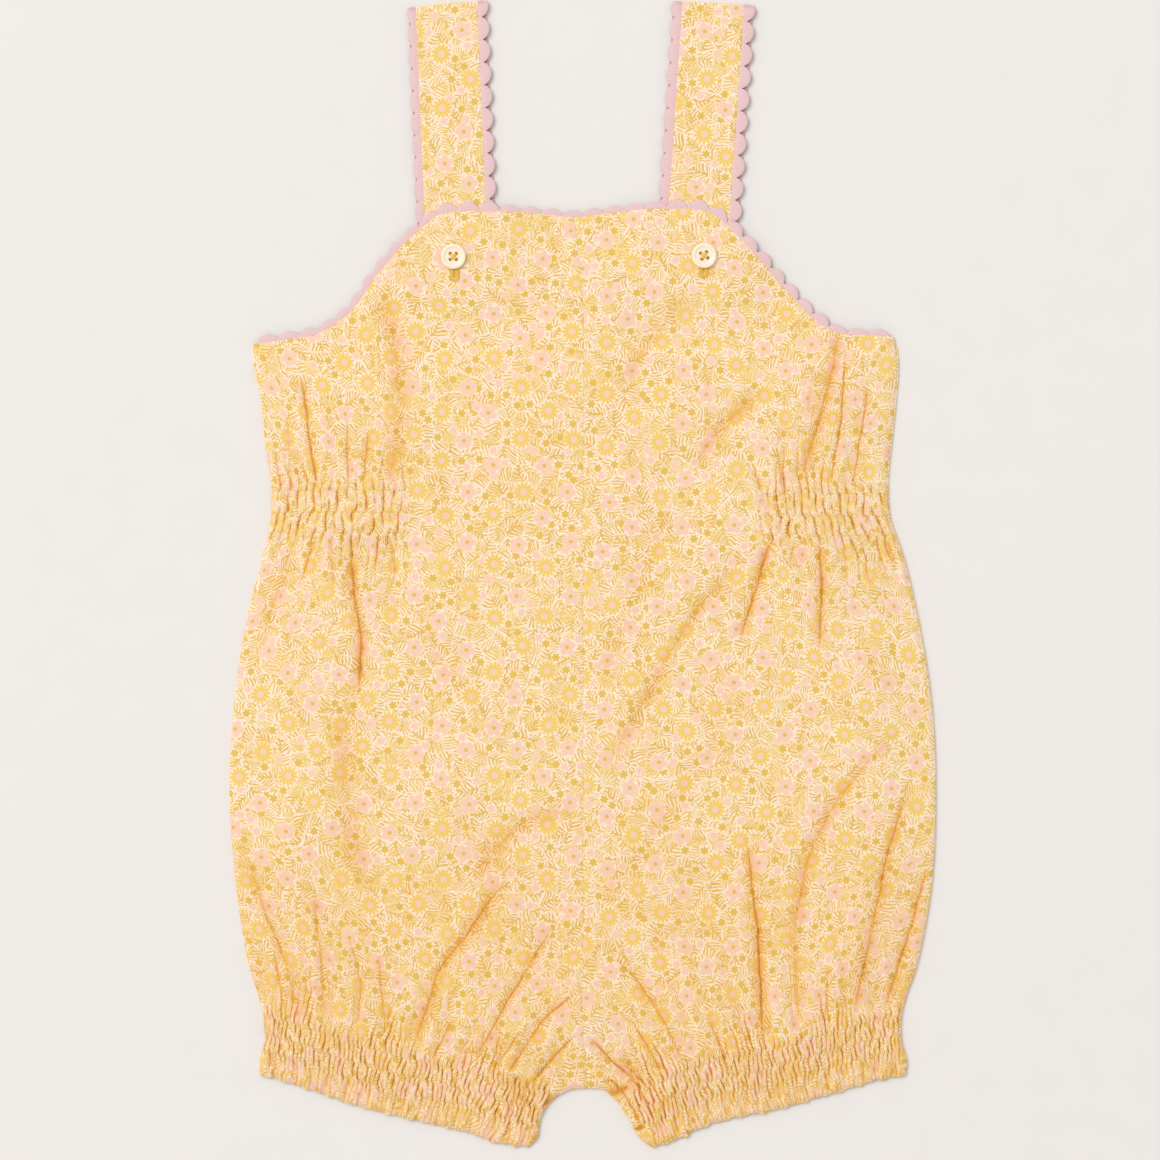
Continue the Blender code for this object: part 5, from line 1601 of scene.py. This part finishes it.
def buttonThread(side, name):
    # two crossing bars, each of three strands side by side, that go down into the holes
    spot = fastenings[side]
    seat = buttonForm["seat"]
    middle = np.array((spot["x"], spot["y"]))
    reach = buttonForm["offset"] * math.sqrt(2) - sewing["shorter"]
    start, over, depth = sewing["dive"]
    t = np.linspace(-1.0, 1.0, 21)
    paths = []
    for bearing, lift in ((45, 0.0), (135, sewing["crossed"])):
        angle = math.radians(bearing) + math.radians(spot["turn"])
        direction = np.array((math.cos(angle), math.sin(angle)))
        aside = np.array((-direction[1], direction[0]))
        for strand in (-sewing["strand"], 0.0, sewing["strand"]):
            closed = strand * (1.0 - sewing["closed"] * np.abs(t))
            off = direction * (t * reach)[:, None] + aside * closed[:, None]
            arch = lift * (1.0 - t * t) + sewing["arch"] * (1.0 - abs(strand) / sewing["strand"])
            z = seat + sewing["above"] + arch - depth * np.clip((np.abs(t) - start) / over, 0.0, 1.0)
            paths.append(np.column_stack((off + middle, z)))
        # down through the button and the cloth, in each hole
        for end in (-1, 1):
            foot = middle + direction * end * reach
            paths.append([(*foot, seat + 1.0), (*foot, seat - 0.4)])
    mesh = grow(name, pathMesh(name, paths), threads, {"Width": sewing["thread"]}, Material=goldThread)
    return addPiece(name, mesh)


def buttonhole(side, name):
    # satin stitches side by side round the slit
    hole = fastenings[side]
    low, high = hole["slotLow"], hole["slotHigh"]
    offset = sewing["slitGap"] + sewing["bar"] / 2
    turn = np.linspace(0.0, math.pi, 14)
    downLeft = np.column_stack((np.full(30, hole["slotX"] - offset), np.linspace(high, low, 30)))
    foot = np.column_stack((hole["slotX"] - offset * np.cos(turn), low - offset * np.sin(turn)))
    upRight = np.column_stack((np.full(30, hole["slotX"] + offset), np.linspace(low, high, 30)))
    flat = np.concatenate((downLeft[:-1], foot, upRight[1:]))
    top = frontLie(flat, side)[0] + sewing["barAbove"]
    lengths = {"Pitch": sewing["barPitch"], "Length": sewing["bar"], "Width": sewing["barWidth"]}
    mesh = grow(name, pathMesh(name, [np.column_stack((flat, top))]), stitches, lengths,
                Turn=math.pi / 2, Uneven=0.08, Seed=5 + side, Material=goldThread)
    return addPiece(name, mesh)


def shirringRows(side, name):
    # running stitches of the elastic thread, at the waist and round the leg
    paths = []
    for row in waist["rows"][side]:
        xs = np.arange(waist["innerEnd"][side], seamOut(row, side) - 1.5, 0.5) * side
        paths.append(np.column_stack((xs, np.full(len(xs), row))))
    hem, up, _ = cuffLines(side)
    paths += [(hem + up * row)[4:-4] for row in cuff["rows"]]
    loop = frontLoop(side)
    risen = []
    for flat in paths:
        flat = flat[insideLoop(flat, loop)]
        flat = flat[nearestOn(flat, loop, np.roll(loop, -1, axis=0))[0] > sewing["shirrEdge"]]
        risen.append(np.column_stack((flat, frontLie(flat, side)[0] + sewing["shirrAbove"])))
    lengths = {"Pitch": sewing["shirrPitch"], "Length": sewing["shirrLength"], "Width": sewing["shirrWidth"]}
    mesh = grow(name, pathMesh(name, risen), stitches, lengths,
                Turn=0.0, Uneven=0.2, Seed=11 + side, Material=creamThread)
    return addPiece(name, mesh)


crossLeft = buttonThread(left, "threadButtonLeft")
crossRight = buttonThread(right, "threadButtonRight")
holeLeft = buttonhole(left, "buttonholeLeft")
holeRight = buttonhole(right, "buttonholeRight")
rowsLeft = shirringRows(left, "shirringThreadLeft")
rowsRight = shirringRows(right, "shirringThreadRight")
print("sewing made")

# plain pale floor and soft studio light from the upper left
studio = {
    "floor": "#eae6e3", "floorGrain": "#e7e3df", "floorHalf": 3, "floorZ": -0.0002,
    "key": 340.0, "keySize": 4.6, "keyPlace": (-3.4, 3.0, 6.8),
    "fill": 0.68, "fillColour": (1.0, 0.99, 0.975, 1.0),
}

floorMaterial, floorTree, floorShader = startMaterial("paleBoard", Roughness=0.9)
floorPlace = addNode(floorTree, "TexCoord")
floorGrain = addNode(floorTree, "TexNoise",
                     {"Vector": (floorPlace, "Object"), "Scale": 60.0, "Detail": 3.0})
floorTone = addNode(floorTree, "Mix", {
    0: floorGrain, 6: linear(studio["floor"]), 7: linear(studio["floorGrain"])}, data_type="RGBA")
plug(floorTree, floorShader, "Base Color", (floorTone, 2))
corners = [(x * studio["floorHalf"], y * studio["floorHalf"], studio["floorZ"])
           for x, y in ((-1, -1), (1, -1), (1, 1), (-1, 1))]
floorMesh = bpy.data.meshes.new("floor")
floorMesh.from_pydata(corners, [], [(0, 1, 2, 3)])
floorMesh.materials.append(floorMaterial)
floor = addObject("floor", floorMesh)

keyData = bpy.data.lights.new("keyLight", "AREA")
keyData.size = studio["keySize"]
keyData.energy = studio["key"]
key = addObject("keyLight", keyData)
key.location = studio["keyPlace"]
key.rotation_mode = "QUATERNION"
key.rotation_quaternion = (-Vector(studio["keyPlace"])).to_track_quat("-Z", "Y")
world = bpy.data.worlds.new("softFill")
world.use_nodes = True
fill = world.node_tree.nodes["Background"]
plug(world.node_tree, fill, "Color", studio["fillColour"])
plug(world.node_tree, fill, "Strength", studio["fill"])
bpy.context.scene.world = world
bpy.context.scene.view_settings.view_transform = "Standard"

print("scene ready")
